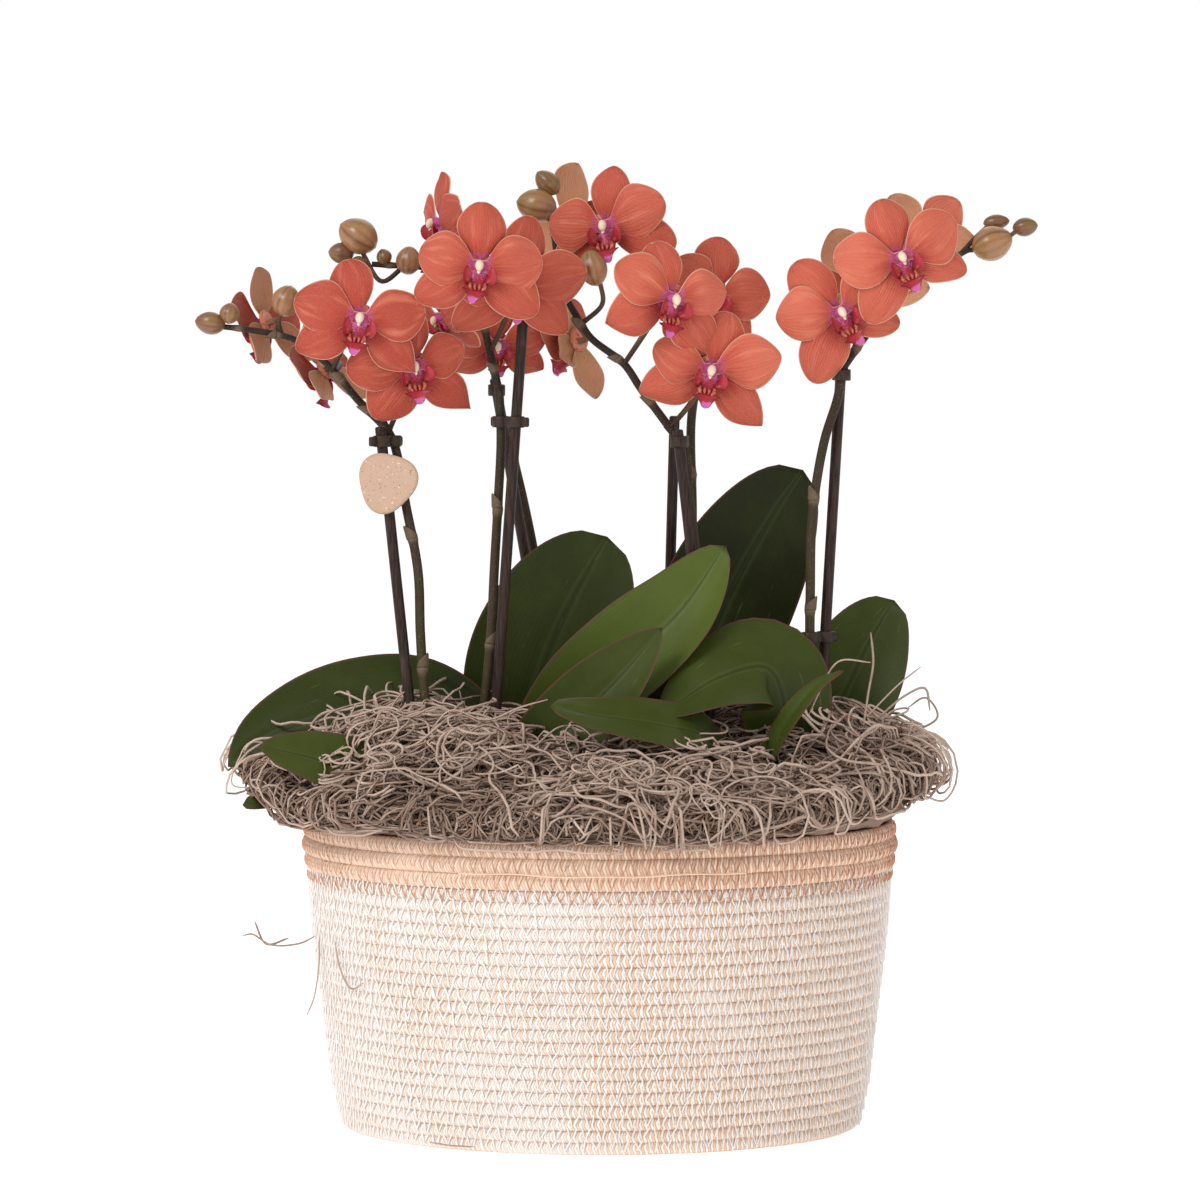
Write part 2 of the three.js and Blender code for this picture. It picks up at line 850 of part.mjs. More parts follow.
const crownSpikes = {
  west: ["far_left", "left"],
  north: ["middle", "centre_back"],
  east: ["centre", "right"],
};
for (const [crown, [x, y]] of Object.entries(crowns)) {
  const holes = crownSpikes[crown].map((name) => {
    const stick = spikes[name].stick;
    return solidFrom(stickRod(stick, gap)).translate([-x, -y, 0]);
  });
  add(`pot_${crown}`, "potPlastic", closed(pot())).position.set(x, y, 0);
  add(`bark_${crown}`, "bark", geometryFrom(bark(holes))).position.set(x, y, 0);
}

const mossCutters = [];
for (const [name, plan] of Object.entries(spikes)) {
  add(`spike_${name}`, "stem", geometryFrom(spike(plan)));
  add(`stick_${name}`, "stick", closed(stickRod(plan.stick, 0)));
  plan.clips.forEach((place, i) => {
    const copy = plan.clips.length > 1 ? `_${i + 1}` : "";
    add(`clip_${name}${copy}`, "clip", geometryFrom(clip(plan, place)));
  });
  mossCutters.push(solidFrom(stemRod(plan.stem, 2 * gap)), solidFrom(stickRod(plan.stick, gap)));
}
add("tag", "tag", closed(tag(spikes.far_left, 264.5)));

for (const [name, plan] of Object.entries(flowers)) addFlower(name, plan);

for (const [name, plan] of Object.entries(leaves)) {
  add(name, "leaf", leaf(plan, 0));
  mossCutters.push(solidFrom(leaf(plan, 3 * gap)));
}

const moss = mossCutters.reduce((rest, cutter) => rest.subtract(cutter), solidFrom(mossMound()));
add("moss", "moss", geometryFrom(largestBody(moss).asOriginal().simplify(gap / 6)));

export default arrangement;
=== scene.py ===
# A moth orchid arrangement in a basket of stitched rope: the finish of every piece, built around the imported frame.
# Sizes are in millimetres and turned into metres where a mesh is made. The front faces -Y.
import math

import bpy
import numpy as np
from mathutils import Matrix, Vector


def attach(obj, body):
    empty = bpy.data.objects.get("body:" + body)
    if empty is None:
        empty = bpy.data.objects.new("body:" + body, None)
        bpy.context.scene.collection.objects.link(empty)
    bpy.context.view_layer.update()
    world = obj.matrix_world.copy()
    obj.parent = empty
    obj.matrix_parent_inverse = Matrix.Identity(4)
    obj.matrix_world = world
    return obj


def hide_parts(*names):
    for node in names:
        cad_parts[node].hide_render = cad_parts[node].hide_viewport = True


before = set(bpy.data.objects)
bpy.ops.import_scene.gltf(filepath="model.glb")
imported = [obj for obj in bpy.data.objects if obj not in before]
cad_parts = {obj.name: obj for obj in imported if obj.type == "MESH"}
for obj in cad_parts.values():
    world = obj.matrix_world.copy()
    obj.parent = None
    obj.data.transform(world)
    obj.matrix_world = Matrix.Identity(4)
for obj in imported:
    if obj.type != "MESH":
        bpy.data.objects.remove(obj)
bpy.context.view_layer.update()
mm = 0.001
body = "root"
fullTurn = 2 * math.pi
bench = {"tree": None}  # the node tree that is being built


# Node tools

# A socket to reckon with: each sign between two wires makes a Math node.
class Wire:
    def __init__(self, socket):
        self.socket = socket

    def __add__(self, other):
        return maths("ADD", self, other)

    def __sub__(self, other):
        return maths("SUBTRACT", self, other)

    def __mul__(self, other):
        return maths("MULTIPLY", self, other)

    def __pow__(self, other):
        return maths("POWER", self, other)

    def __abs__(self):
        return maths("ABSOLUTE", self)


def plug(value, socket):
    if isinstance(value, Wire):
        bench["tree"].links.new(value.socket, socket)
    else:
        socket.default_value = value


def put(kind, inputs={}, out=0, **settings):
    node = bench["tree"].nodes.new(kind)
    for name, value in settings.items():
        setattr(node, name, value)
    for key, value in inputs.items():
        plug(value, node.inputs[key])
    return Wire(node.outputs[out])


def wires(first):
    return {socket.name: Wire(socket) for socket in first.socket.node.outputs if socket.name}


def maths(operation, *values, clamp=False):
    return put("ShaderNodeMath", dict(enumerate(values)), operation=operation, use_clamp=clamp)


def vectors(operation, *values):
    return put("ShaderNodeVectorMath", dict(enumerate(values)), operation=operation)


def joinXYZ(x, y, z):
    return put("ShaderNodeCombineXYZ", {0: x, 1: y, 2: z})


def parts(vector):
    return list(wires(put("ShaderNodeSeparateXYZ", {0: vector})).values())


def span(value, low, high, toLow=0.0, toHigh=1.0):
    inputs = {0: value, 1: low, 2: high, 3: toLow, 4: toHigh}
    return put("ShaderNodeMapRange", inputs, interpolation_type="SMOOTHSTEP")


def noise(vector, scale, detail=2.0, roughness=0.5):
    inputs = {"Vector": vector, "Scale": scale, "Detail": detail, "Roughness": roughness}
    return put("ShaderNodeTexNoise", inputs, "Fac")


# Starts a node group: a socket is given as its first number, or as its type where it has none.
def newTree(name, kind, given, made=("Geometry",)):
    tree = bench["tree"] = bpy.data.node_groups.new(name, kind + "NodeTree")
    for label, value in given.items():
        typeName = value if isinstance(value, str) else type(value).__name__.capitalize()
        socket = tree.interface.new_socket(label, in_out="INPUT", socket_type="NodeSocket" + typeName)
        if typeName != value:
            socket.default_value = value
    for label in made:
        typeName = "Geometry" if kind == "Geometry" else "Float"
        tree.interface.new_socket(label, in_out="OUTPUT", socket_type="NodeSocket" + typeName)
    return wires(put("NodeGroupInput"))


def giveOut(**results):
    tree = bench["tree"]
    end = tree.nodes.new("NodeGroupOutput")
    for label, wire in results.items():
        plug(wire, end.inputs[label])
    return tree


# Shader tools

# A colour as the eye sees it, 0 to 255, turned into linear light.
def colour(*shades):
    shares = [shade / 255 for shade in shades]
    return (*[s / 12.92 if s <= 0.04045 else ((s + 0.055) / 1.055) ** 2.4 for s in shares], 1)


# A base colour with coats over it, each as strong as its factor says.
def coated(base, *coats):
    for factor, tint in coats:
        base, tint = (colour(*side) if isinstance(side, tuple) else side for side in (base, tint))
        base = put("ShaderNodeMix", {0: factor, 6: base, 7: tint}, 2, data_type="RGBA")
    return base


def attribute(name):
    return put("ShaderNodeAttribute", out="Fac", attribute_name=name, attribute_type="GEOMETRY")


def use(group, **inputs):
    return wires(put("ShaderNodeGroup", inputs, node_tree=group))


# Uneven shade and fine relief, for anything that isn't perfectly even.
def makeGrainGroup():
    inputs = {"Vector": "Vector", "Scale": 300.0, "Contrast": 1.0}
    given = newTree("fineGrain", "Shader", inputs, ("Shade", "Height"))
    coarse = noise(given["Vector"], given["Scale"] * 0.12, 3)
    fine = noise(given["Vector"], given["Scale"], 3, 0.6)
    swing = (coarse * 0.6 + fine * 0.4 - 0.5) * given["Contrast"]
    return giveOut(Shade=maths("ADD", swing, 0.5, clamp=True), Height=fine)


# Lines that run along a petal or a leaf and spread with its width.
def makeVeinGroup():
    inputs = {"Across": 0.0, "Along": 0.0, "Count": 8.0, "Sharpness": 6.0, "Waver": 0.3}
    given = newTree("veins", "Shader", inputs, ("Line", "Height"))
    place = joinXYZ(given["Across"], given["Along"], 0.0)
    shifted = given["Across"] + (noise(place, 2.6) - 0.5) * given["Waver"]
    ridge = abs(maths("COSINE", shifted * (given["Count"] * math.pi))) ** given["Sharpness"]
    return giveOut(Line=ridge * span(noise(place, 7.0), 0.3, 0.65, 0.35, 1.0), Height=ridge)


# Long fibres and stray hairs of cord, thread and moss.
def makeFibreGroup():
    inputs = {"Vector": "Vector", "Scale": 900.0, "Stretch": 6.0}
    given = newTree("fibre", "Shader", inputs, ("Shade", "Height"))
    x, y, z = parts(given["Vector"])
    hairs = noise(joinXYZ(x, y, z * given["Stretch"]), given["Scale"], 3, 0.65)
    patches = noise(given["Vector"], given["Scale"] * 0.08)
    return giveOut(Shade=hairs * 0.65 + patches * 0.35, Height=hairs)


# A braided cord seen from its side: strokes that meet in a point half way up, every second one in the other yarn.
def makeBraidGroup():
    inputs = {"Along": 0.0, "Across": 0.0, "Slant": -0.95, "Unevenness": 0.35}
    given = newTree("braid", "Shader", inputs, ("Yarn", "Gap", "Height"))
    sway = (noise(joinXYZ(given["Along"], given["Across"], 0.0), 0.8) - 0.5) * given["Unevenness"]
    phase = given["Along"] + abs(given["Across"]) * given["Slant"] + sway
    ridge = abs(maths("SINE", phase * math.pi)) ** 0.55
    yarn = maths("GREATER_THAN", maths("FRACT", phase * 0.5), 0.5)
    # Gap is painted shade in the grooves between the strokes
    return giveOut(Yarn=yarn, Gap=maths("SUBTRACT", 1.0, ridge) ** 1.6, Height=ridge)


grainGroup = makeGrainGroup()
veinGroup = makeVeinGroup()
fibreGroup = makeFibreGroup()
braidGroup = makeBraidGroup()


def newMaterial(name, roughness, shine, **sockets):
    material = bpy.data.materials.new(name)
    material.use_nodes = True
    bench["tree"] = material.node_tree
    skin = material.node_tree.nodes["Principled BSDF"].inputs
    for label, value in {"Roughness": roughness, "Specular_IOR_Level": shine, **sockets}.items():
        skin[label.replace("_", " ")].default_value = value
    places = wires(put("ShaderNodeTexCoord"))
    return material, places["Object"], places["UV"]


# Gives a material its colour, its relief and, where that changes, its roughness.
def cover(material, base, height, depth, roughness=None):
    skin = material.node_tree.nodes["Principled BSDF"].inputs
    plug(base, skin["Base Color"])
    plug(put("ShaderNodeBump", {"Height": height, "Distance": depth * mm, "Strength": 1.0}), skin["Normal"])
    if roughness:
        plug(roughness, skin["Roughness"])
    return material


# Camera, light and studio

camera = {"distance": 2800, "height": 355, "pitch": 2.855, "lens": 204.96, "sensor": 36, "far": 50}
studio = {"floorRadius": 12000, "sides": 96, "white": 0.93, "glow": 0.5, "sky": 0.57}
lights = {
    "key": {"at": (-1500, -1700, 1900), "aim": (0, 0, 250), "size": 1100, "power": 38},
    "fill": {"at": (1700, -1500, 900), "aim": (0, 0, 220), "size": 1500, "power": 4},
    "back": {"at": (300, 1500, 1500), "aim": (0, 0, 260), "size": 1200, "power": 7},
}


def addObject(name, data):
    thing = bpy.data.objects.new(name, data)
    bpy.context.collection.objects.link(thing)
    return thing


def setCamera():
    data = bpy.data.cameras.new("camera")
    data.sensor_width, data.lens, data.clip_end = camera["sensor"], camera["lens"], camera["far"]
    eye = addObject("camera", data)
    eye.location = (0, -camera["distance"] * mm, camera["height"] * mm)
    eye.rotation_euler = (math.radians(90 - camera["pitch"]), 0, 0)
    bpy.context.scene.camera = eye


def setLights():
    for name, plan in lights.items():
        data = bpy.data.lights.new(name, "AREA")
        data.size, data.energy = plan["size"] * mm, plan["power"]
        lamp = addObject(name, data)
        lamp.location = Vector(plan["at"]) * mm
        lamp.rotation_euler = (Vector(plan["aim"]) * mm - lamp.location).to_track_quat("-Z", "Y").to_euler()
    world = bpy.context.scene.world = bpy.data.worlds.new("studio")
    world.use_nodes = True
    bench["tree"] = world.node_tree
    sky = world.node_tree.nodes["Background"].inputs
    sky["Color"].default_value = (1, 1, 1, 1)
    # the camera sees pure white, and all else a dimmer sky
    plug(maths("MAXIMUM", put("ShaderNodeLightPath", out="Is Camera Ray"), studio["sky"]), sky["Strength"])
    bpy.context.scene.view_settings.view_transform = "Standard"


# The sheet on the table, wide enough for a camera on any side.
def setFloor():
    radius, sides = studio["floorRadius"] * mm, studio["sides"]
    turns = [fullTurn * i / sides for i in range(sides)]
    mesh = bpy.data.meshes.new("floor")
    mesh.from_pydata([(radius * math.cos(t), radius * math.sin(t), 0) for t in turns], [], [range(sides)])
    white = (*[studio["white"]] * 3, 1)
    glow = {"Emission_Color": (1, 1, 1, 1), "Emission_Strength": studio["glow"]}
    mesh.materials.append(newMaterial("studioPaper", 1, 0, Base_Color=white, **glow)[0])
    addObject("floor", mesh)


setCamera()
setLights()
setFloor()
print("camera, lights and studio are set")


# Materials: rope and thread

whiteRope = {
    "pale": (255, 249, 245), "warm": (236, 203, 174), "gap": (222, 184, 160), "seam": (196, 154, 128),
    "braids": 580.0, "rowShift": 0.73, "warmShare": 0.95, "seamWidth": 0.28,
}
tanRope = {
    "pale": (252, 226, 206), "warm": (225, 185, 153), "gap": (206, 154, 122), "seam": (176, 112, 82),
    "braids": 580.0, "rowShift": 0.73, "warmShare": 0.9, "seamWidth": 0.24,
}


def ropeMaterial(name, yarns):
    material, place, _ = newMaterial(name, 0.92, 0.2)
    x, y, _ = parts(place)
    along = maths("DIVIDE", maths("ARCTAN2", y, x), fullTurn) * yarns["braids"]
    across, row = attribute("across"), attribute("row")
    braid = use(braidGroup, Along=along + row * yarns["rowShift"], Across=across)
    fibre = use(fibreGroup, Vector=place, Scale=1500.0)
    # painted shade: the right side is darker and warmer than the left, as the light falls from the left; some stretches
    # are warmer in their own colour
    sideShadeAndTint = span(noise(place, 22.0) + x * 1.6, 0.26, 0.68, 0.45, 1.0)
    # painted shade: darker dashes in the crease where one row meets the next, stronger on the right
    creaseShadeDashes = span(noise(joinXYZ(along, row, 0.0), 0.9, 1), 0.42, 0.6)
    edge = span(abs(across), 1 - yarns["seamWidth"], 1.0)
    base = coated(
        yarns["pale"],
        (braid["Yarn"] * sideShadeAndTint * yarns["warmShare"], yarns["warm"]),
        # painted shade in the grooves between the strokes, deeper on the right
        (braid["Gap"] * sideShadeAndTint, yarns["gap"]),
        (edge * ((creaseShadeDashes * 0.6 + 0.25) * (sideShadeAndTint * 0.6 + 0.4)), yarns["seam"]),
        (span(fibre["Shade"], 0.3, 0.7, 0.12, 0.0), yarns["gap"]),
    )
    return cover(material, base, braid["Height"] + fibre["Height"] * 0.35, 0.36)


# worn sets how strongly the left side is painted lighter and some stretches faded
def threadMaterial(name, light, dark, worn=0.0):
    material, place, _ = newMaterial(name, 0.8, 0.25)
    fibre = use(fibreGroup, Vector=place, Scale=2200.0, Stretch=2.0)
    # painted light: the left side is lighter, as the light falls from the left; some stretches are also faded more than
    # others
    leftLightAndFade = parts(place)[0] * -4.0 + noise(place, 25.0)
    base = coated(dark, (span(fibre["Shade"], 0.35, 0.7), light), (span(leftLightAndFade, 0.3, 0.95, 0.0, worn), light))
    return cover(material, base, fibre["Height"], 0.12)


# Materials: moss

def mossStrandMaterial():
    material, place, _ = newMaterial("dryMossStrand", 0.9, 0.2)
    # tone carries painted light: strands that rise higher are lighter, deeper ones darker
    tone = attribute("tone")
    fibre = use(fibreGroup, Vector=place, Scale=1200.0, Stretch=1.0)
    base = coated(
        (88, 69, 57),
        (span(tone, 0.0, 0.55), (154, 130, 115)),
        (span(tone, 0.55, 1.0), (208, 184, 168)),
        (span(noise(place, 130.0), 0.56, 0.74, 0.0, 0.6), (152, 108, 83)),
        (span(fibre["Shade"], 0.35, 0.65, 0.25, 0.0), (108, 84, 70)),
    )
    return cover(material, base, fibre["Height"], 0.07)


def mossBedMaterial():
    material, place, _ = newMaterial("mossBed", 1.0, 0.05)
    fibre = use(fibreGroup, Vector=place, Scale=420.0, Stretch=1.5)
    tangle = noise(place, 190.0, 4, 0.7)
    # painted shade: the bed is much darker than the strands, as the depth of the tangle between them
    base = coated(
        (62, 49, 42),
        (span(tangle, 0.38, 0.66), (124, 102, 88)),
        (span(fibre["Shade"], 0.4, 0.65, 0.0, 0.5), (150, 126, 110)),
        # painted light: the hanging underside is lighter than the rest of the bed
        (span(parts(place)[2], 0.127, 0.136, 0.7, 0.0), (158, 136, 122)),
    )
    return cover(material, base, tangle, 2.0)


# Materials: stems, sticks, tag and buds

def stemMaterial():
    material, place, _ = newMaterial("orchidStem", 0.55, 0.2)
    tone = attribute("tone")
    grain = use(grainGroup, Vector=place, Scale=900.0, Contrast=1.6)
    base = coated(
        (72, 61, 36),
        (span(tone, 0.0, 1.0), (46, 34, 27)),
        (span(tone, 1.0, 2.0), (152, 112, 86)),
        (span(noise(place, 60.0, 3), 0.45, 0.7, 0.0, 0.5), (76, 58, 48)),
        (attribute("ring"), (134, 112, 92)),
        (span(noise(place, 1400.0), 0.62, 0.72, 0.0, 0.35), (150, 135, 105)),
        (span(grain["Shade"], 0.2, 0.8, 0.3, 0.0), (34, 26, 22)),
    )
    return cover(material, base, grain["Height"], 0.1)


def stickMaterial():
    material, place, _ = newMaterial("stainedStick", 0.5, 0.2)
    x, y, z = parts(place)
    lines = noise(joinXYZ(x, y, z * 0.06), 1300.0, 3, 0.6)
    worn = span(noise(place, 90.0, 3), 0.6, 0.75, 0.0, 0.35)
    base = coated((34, 24, 20), (span(lines, 0.35, 0.7), (68, 49, 42)), (worn, (86, 64, 56)))
    return cover(material, base, lines, 0.12, span(lines, 0.3, 0.7, 0.34, 0.5))


def tagMaterial():
    material, place, _ = newMaterial("speckledCard", 0.85, 0.2)
    grain = use(grainGroup, Vector=place, Scale=1600.0, Contrast=0.8)
    base = coated(
        (190, 157, 136),
        (grain["Shade"], (208, 177, 156)),
        (span(noise(place, 1150.0, 1), 0.66, 0.71, 0.0, 0.8), (150, 112, 84)),
        (span(noise(place, 800.0, 1), 0.68, 0.73, 0.0, 0.7), (246, 232, 214)),
        (attribute("ring"), (186, 150, 118)),
    )
    return cover(material, base, grain["Height"], 0.06)


def budMaterial():
    material, place, _ = newMaterial("budSkin", 0.32, 0.55)
    grain = use(grainGroup, Vector=place, Scale=800.0, Contrast=1.4)
    base = coated(
        (112, 70, 46),
        (attribute("tone"), (188, 136, 92)),
        (span(noise(place, 75.0), 0.42, 0.68, 0.0, 0.65), (150, 126, 66)),
        (span(grain["Shade"], 0.3, 0.7, 0.25, 0.0), (104, 68, 46)),
        (attribute("seam"), (92, 58, 40)),
    )
    return cover(material, base, grain["Height"], 0.1)


# Materials: petals, lip and leaves

def tepalMaterial():
    material, place, uv = newMaterial("coralTepal", 0.6, 0.22, Sheen_Weight=0.05)
    u, along, _ = parts(uv)
    across = u * 2.0 - 1.0
    kind, back, rim, tone = (attribute(name) for name in ("kind", "back", "rim", "tone"))
    sepal = span(kind, 0.2, 0.45)
    lowSepal = span(kind, 0.6, 0.9)
    # broad soft paler streaks that run with the petal: painted sheen
    streakPlace = joinXYZ(across * 2.2, along, tone * 30.0)
    streaks = noise(streakPlace, 1.7, 3)
    # veins: clear on sepals, faint on petals
    veins = use(veinGroup, Across=across, Along=along, Count=sepal * 2.5 + 7.0, Sharpness=5.0, Waver=0.22)
    patchy = span(noise(streakPlace, 1.1), 0.35, 0.65, 0.3, 1.3)
    # low sepals turn crimson under the lip, along their veins first
    blush = span(veins["Line"] * -0.12 + along, 0.12, 0.5, 0.85, 0.0) * lowSepal
    # magenta dots round the middle
    dots = span(along, 0.1, 0.22, 1.0, 0.0) * span(noise(place, 1500.0, 1), 0.42, 0.54)
    # backs of the sepals are tan with brown veins
    foot = span(along, 0.1, 0.5, 0.6, 0.0)
    tan = coated((206, 154, 118), (veins["Line"] * 0.4, (168, 118, 86)), (foot, (176, 136, 88)))
    base = coated(
        (162, 60, 44),
        # tone carries painted shade: darker flowers on the left, paler on the right
        (tone, (205, 105, 82)),
        (span(streaks, 0.5, 0.75, 0.0, 0.45), (222, 134, 107)),
        (span((streaks - 0.5) * 0.9 + along, 0.0, 0.62, 0.8, 0.0), (176, 62, 46)),
        (sepal * 0.3, (176, 66, 48)),
        (veins["Line"] * ((sepal * 0.4 + 0.2) * patchy), (168, 56, 48)),
        (blush, (140, 28, 32)),
        (dots, (194, 88, 152)),
        (span(noise(place, 2600.0), 0.45, 0.75, 0.0, 0.16), (238, 160, 130)),
        (back * (sepal * 0.75 + 0.1), tan),
        (span(rim, 0.05, 0.55, 0.85, 0.0), (232, 186, 152)),
    )
    return cover(material, base, noise(place, 2400.0) * 0.3 + veins["Height"] * -0.5, 0.18)


def lipMaterial():
    material, place, _ = newMaterial("crimsonLip", 0.42, 0.4)
    streaks = span(noise(place, 900.0, 3, 0.7), 0.36, 0.56)
    ragged = (noise(place, 1700.0) - 0.5) * 1.6 + attribute("magenta")
    soft = (noise(place, 1100.0) - 0.5) * 0.5 + attribute("cream")
    base = coated(
        (150, 30, 40),
        (noise(place, 500.0), (184, 48, 60)),
        (attribute("dark"), (122, 22, 26)),
        (attribute("orange") * streaks, (214, 134, 98)),
        (span(ragged, 0.35, 0.6), (196, 90, 156)),
        (span(soft, 0.35, 0.65), (232, 210, 184)),
    )
    return cover(material, base, noise(place, 1500.0, 3), 0.12)


def leafMaterial():
    material, place, uv = newMaterial("orchidLeaf", 0.45, 0.18)
    u, along, _ = parts(uv)
    across = u * 2.0 - 1.0
    tone = attribute("tone")
    mottle = noise(place, 34.0, 4, 0.6)
    veins = use(veinGroup, Across=across, Along=along, Count=16.0, Sharpness=3.0, Waver=0.06)
    midrib = span(abs(across), 0.0, 0.05, 0.6, 0.0)
    # painted highlight: a lighter strip on each side of the midrib
    besideMidribHighlight = span(abs(across), 0.06, 0.13, 1.0, 0.0) * 0.07
    scars = span(noise(joinXYZ(u * 9.0, along, tone), 9.0, 3), 0.7, 0.76)
    base = coated(
        (30, 33, 7),
        (span(tone, 0.0, 0.5), (58, 68, 18)),
        (span(tone, 0.5, 1.0), (94, 110, 42)),
        (span(mottle, 0.42, 0.7) * (tone * 0.5 + 0.12), (74, 86, 32)),
        # painted shade: darker towards the base, where the leaf comes up out of the moss
        (span(along, 0.2, 0.62, 0.6, 0.0), (34, 36, 12)),
        (veins["Line"] * 0.12, (34, 46, 18)),
        (midrib, (42, 52, 24)),
        (maths("SUBTRACT", besideMidribHighlight, midrib, clamp=True), (118, 142, 88)),
        (scars * 0.25, (160, 170, 120)),
        (attribute("back") * 0.6, (92, 96, 66)),
        (span(attribute("rim"), 0.2, 1.1, 0.75, 0.0), (96, 52, 50)),
    )
    height = noise(place, 1500.0) * 0.35 + veins["Height"] * 0.15
    return cover(material, base, height, 0.12, span(mottle, 0.3, 0.7, 0.36, 0.5))


# Materials: clips, and what the moss hides

def plasticMaterial(name, dark, light, roughness, shine=0.5, scale=700.0, contrast=1.2, depth=0.08):
    material, place, _ = newMaterial(name, roughness, shine)
    grain = use(grainGroup, Vector=place, Scale=scale, Contrast=contrast)
    return cover(material, coated(dark, (grain["Shade"], light)), grain["Height"], depth)


def barkMaterial():
    material, place, _ = newMaterial("barkChips", 0.95, 0.2)
    chips = {"Vector": place, "Scale": 130.0}
    chipTone = parts(put("ShaderNodeTexVoronoi", chips, "Color", feature="F1"))[0]
    edges = put("ShaderNodeTexVoronoi", chips, "Distance", feature="DISTANCE_TO_EDGE")
    grain = use(grainGroup, Vector=place, Scale=600.0, Contrast=1.6)
    base = coated(
        (74, 48, 34),
        (chipTone, (132, 94, 66)),
        (span(grain["Shade"], 0.3, 0.7, 0.4, 0.0), (48, 32, 24)),
        # painted shade in the gaps between the chips
        (span(edges, 0.0, 0.12, 0.9, 0.0), (22, 15, 12)),
    )
    return cover(material, base, span(edges, 0.0, 0.25), 1.5)


whiteRopeSkin = ropeMaterial("whiteBraid", whiteRope)
tanRopeSkin = ropeMaterial("tanBraid", tanRope)
whiteThreadSkin = threadMaterial("whiteThread", (255, 253, 251), (248, 240, 234))
tanThreadSkin = threadMaterial("tanThread", (250, 226, 202), (232, 196, 166))
# the band's sunk thread is darker than its rope: partly its own colour, partly painted shade of the grooves it lies in;
# its left side is painted lighter
sunkThreadAndShadeSkin = threadMaterial("sunkThreadAndShade", (228, 182, 152), (186, 122, 92), 0.9)
mossStrandSkin = mossStrandMaterial()
mossBedSkin = mossBedMaterial()
stemSkin = stemMaterial()
stickSkin = stickMaterial()
tagSkin = tagMaterial()
budSkin = budMaterial()
tepalSkin = tepalMaterial()
lipSkin = lipMaterial()
leafSkin = leafMaterial()
clipSkin = plasticMaterial("clipPlastic", (40, 30, 25), (70, 55, 44), 0.5, 0.22, 1500.0, 1.0, 0.05)
hiddenSkins = {
    "reservoir_liner": plasticMaterial("linerPlastic", (44, 44, 47), (70, 70, 74), 0.5),
    "pot": plasticMaterial("potPlastic", (58, 40, 30), (88, 62, 48), 0.45),
    "bark": barkMaterial(),
}
print("materials are made")


# Mesh tools

def newObject(name, points, faces, materials, values={}, uv=None, edges=()):
    mesh = bpy.data.meshes.new(name)
    mesh.from_pydata(np.asarray(points, dtype=float) * mm, edges, faces)
    mesh.shade_smooth()
    for material in materials:
        mesh.materials.append(material)
    for label, numbers in values.items():
        layer = mesh.attributes.new(label, "FLOAT", "POINT")
        layer.data.foreach_set("value", np.asarray(numbers, dtype=np.float32))
    if uv is not None:
        corners = np.empty(len(mesh.loops), dtype=np.int32)
        mesh.loops.foreach_get("vertex_index", corners)
        layer = mesh.uv_layers.new(name="UVMap")
        layer.data.foreach_set("uv", np.asarray(uv, dtype=np.float32)[corners].ravel())
    return addObject(name, mesh)


# A skin over closed cross-sections, with one point at each end. Its faces point outwards.
def skinOver(rings, start, end):
    rings = np.array(rings)
    count, sides = rings.shape[:2]
    points = np.vstack([[start], rings.reshape(-1, 3), [end]])
    pairs = [(a, (a + 1) % sides) for a in range(sides)]
    top = 1 + (count - 1) * sides
    faces = [(0, 1 + b, 1 + a) for a, b in pairs]
    for low in range(1, top, sides):
        faces += [(low + a, low + b, low + sides + b, low + sides + a) for a, b in pairs]
    faces += [(top + a, top + b, len(points) - 1) for a, b in pairs]
    corners = np.array([(face[0], *face[i : i + 2]) for face in faces for i in range(1, len(face) - 1)])
    p, q, r = (points - points.mean(axis=0))[corners.T]
    if (p * np.cross(q, r)).sum() < 0:
        faces = [face[::-1] for face in faces]
    return points, faces


# Values over such a skin: for its first point, for the points of the rings, and for its last point.
def capped(start, rows, end):
    return np.concatenate([[start], np.ravel(rows), [end]])


def turnsRound(sides):
    return fullTurn * np.arange(sides) / sides


# Once round the section of a thin sheet: how far across each point is, and how far towards the upper face.
def sheetSection(sides, power):
    rise = np.sin(turnsRound(sides))
    return np.cos(turnsRound(sides)), np.sign(rise) * np.abs(rise) ** power


def sheetUv(across, alongs):
    u, v = np.meshgrid((across + 1) / 2, alongs)
    return np.column_stack([capped(0.5, u, 0.5), capped(0, v, 1)])


def unit(vector):
    vector = np.asarray(vector, dtype=float)
    return vector / np.linalg.norm(vector)


# Evenly spaced points on a smooth curve through the given ones.
def smoothLine(points, count):
    points = np.asarray(points, dtype=float)
    if len(points) == 2:
        return points[0] + np.linspace(0, 1, count)[:, None] * (points[1] - points[0])
    padded = np.vstack([2 * points[0] - points[1], points, 2 * points[-1] - points[-2]])
    dense = []
    for i in range(len(points) - 1):
        four = padded[i : i + 4]
        knots = np.r_[0, np.cumsum(np.linalg.norm(np.diff(four, axis=0), axis=1) ** 0.5)]
        t = np.linspace(knots[1], knots[2], 24, endpoint=False)[:, None]

        def between(a, b, low, high):
            return (knots[b] - t) / (knots[b] - knots[a]) * low + (t - knots[a]) / (knots[b] - knots[a]) * high

        first, second, third = (between(k, k + 1, four[k], four[k + 1]) for k in range(3))
        dense.append(between(1, 2, between(0, 2, first, second), between(1, 3, second, third)))
    dense = np.vstack([*dense, points[-1]])
    steps = np.r_[0, np.cumsum(np.linalg.norm(np.diff(dense, axis=0), axis=1))]
    wanted = np.linspace(0, steps[-1], count)
    return np.column_stack([np.interp(wanted, steps, dense[:, k]) for k in range(3)])


def lineLength(points):
    return float(np.linalg.norm(np.diff(np.asarray(points, dtype=float), axis=0), axis=1).sum())


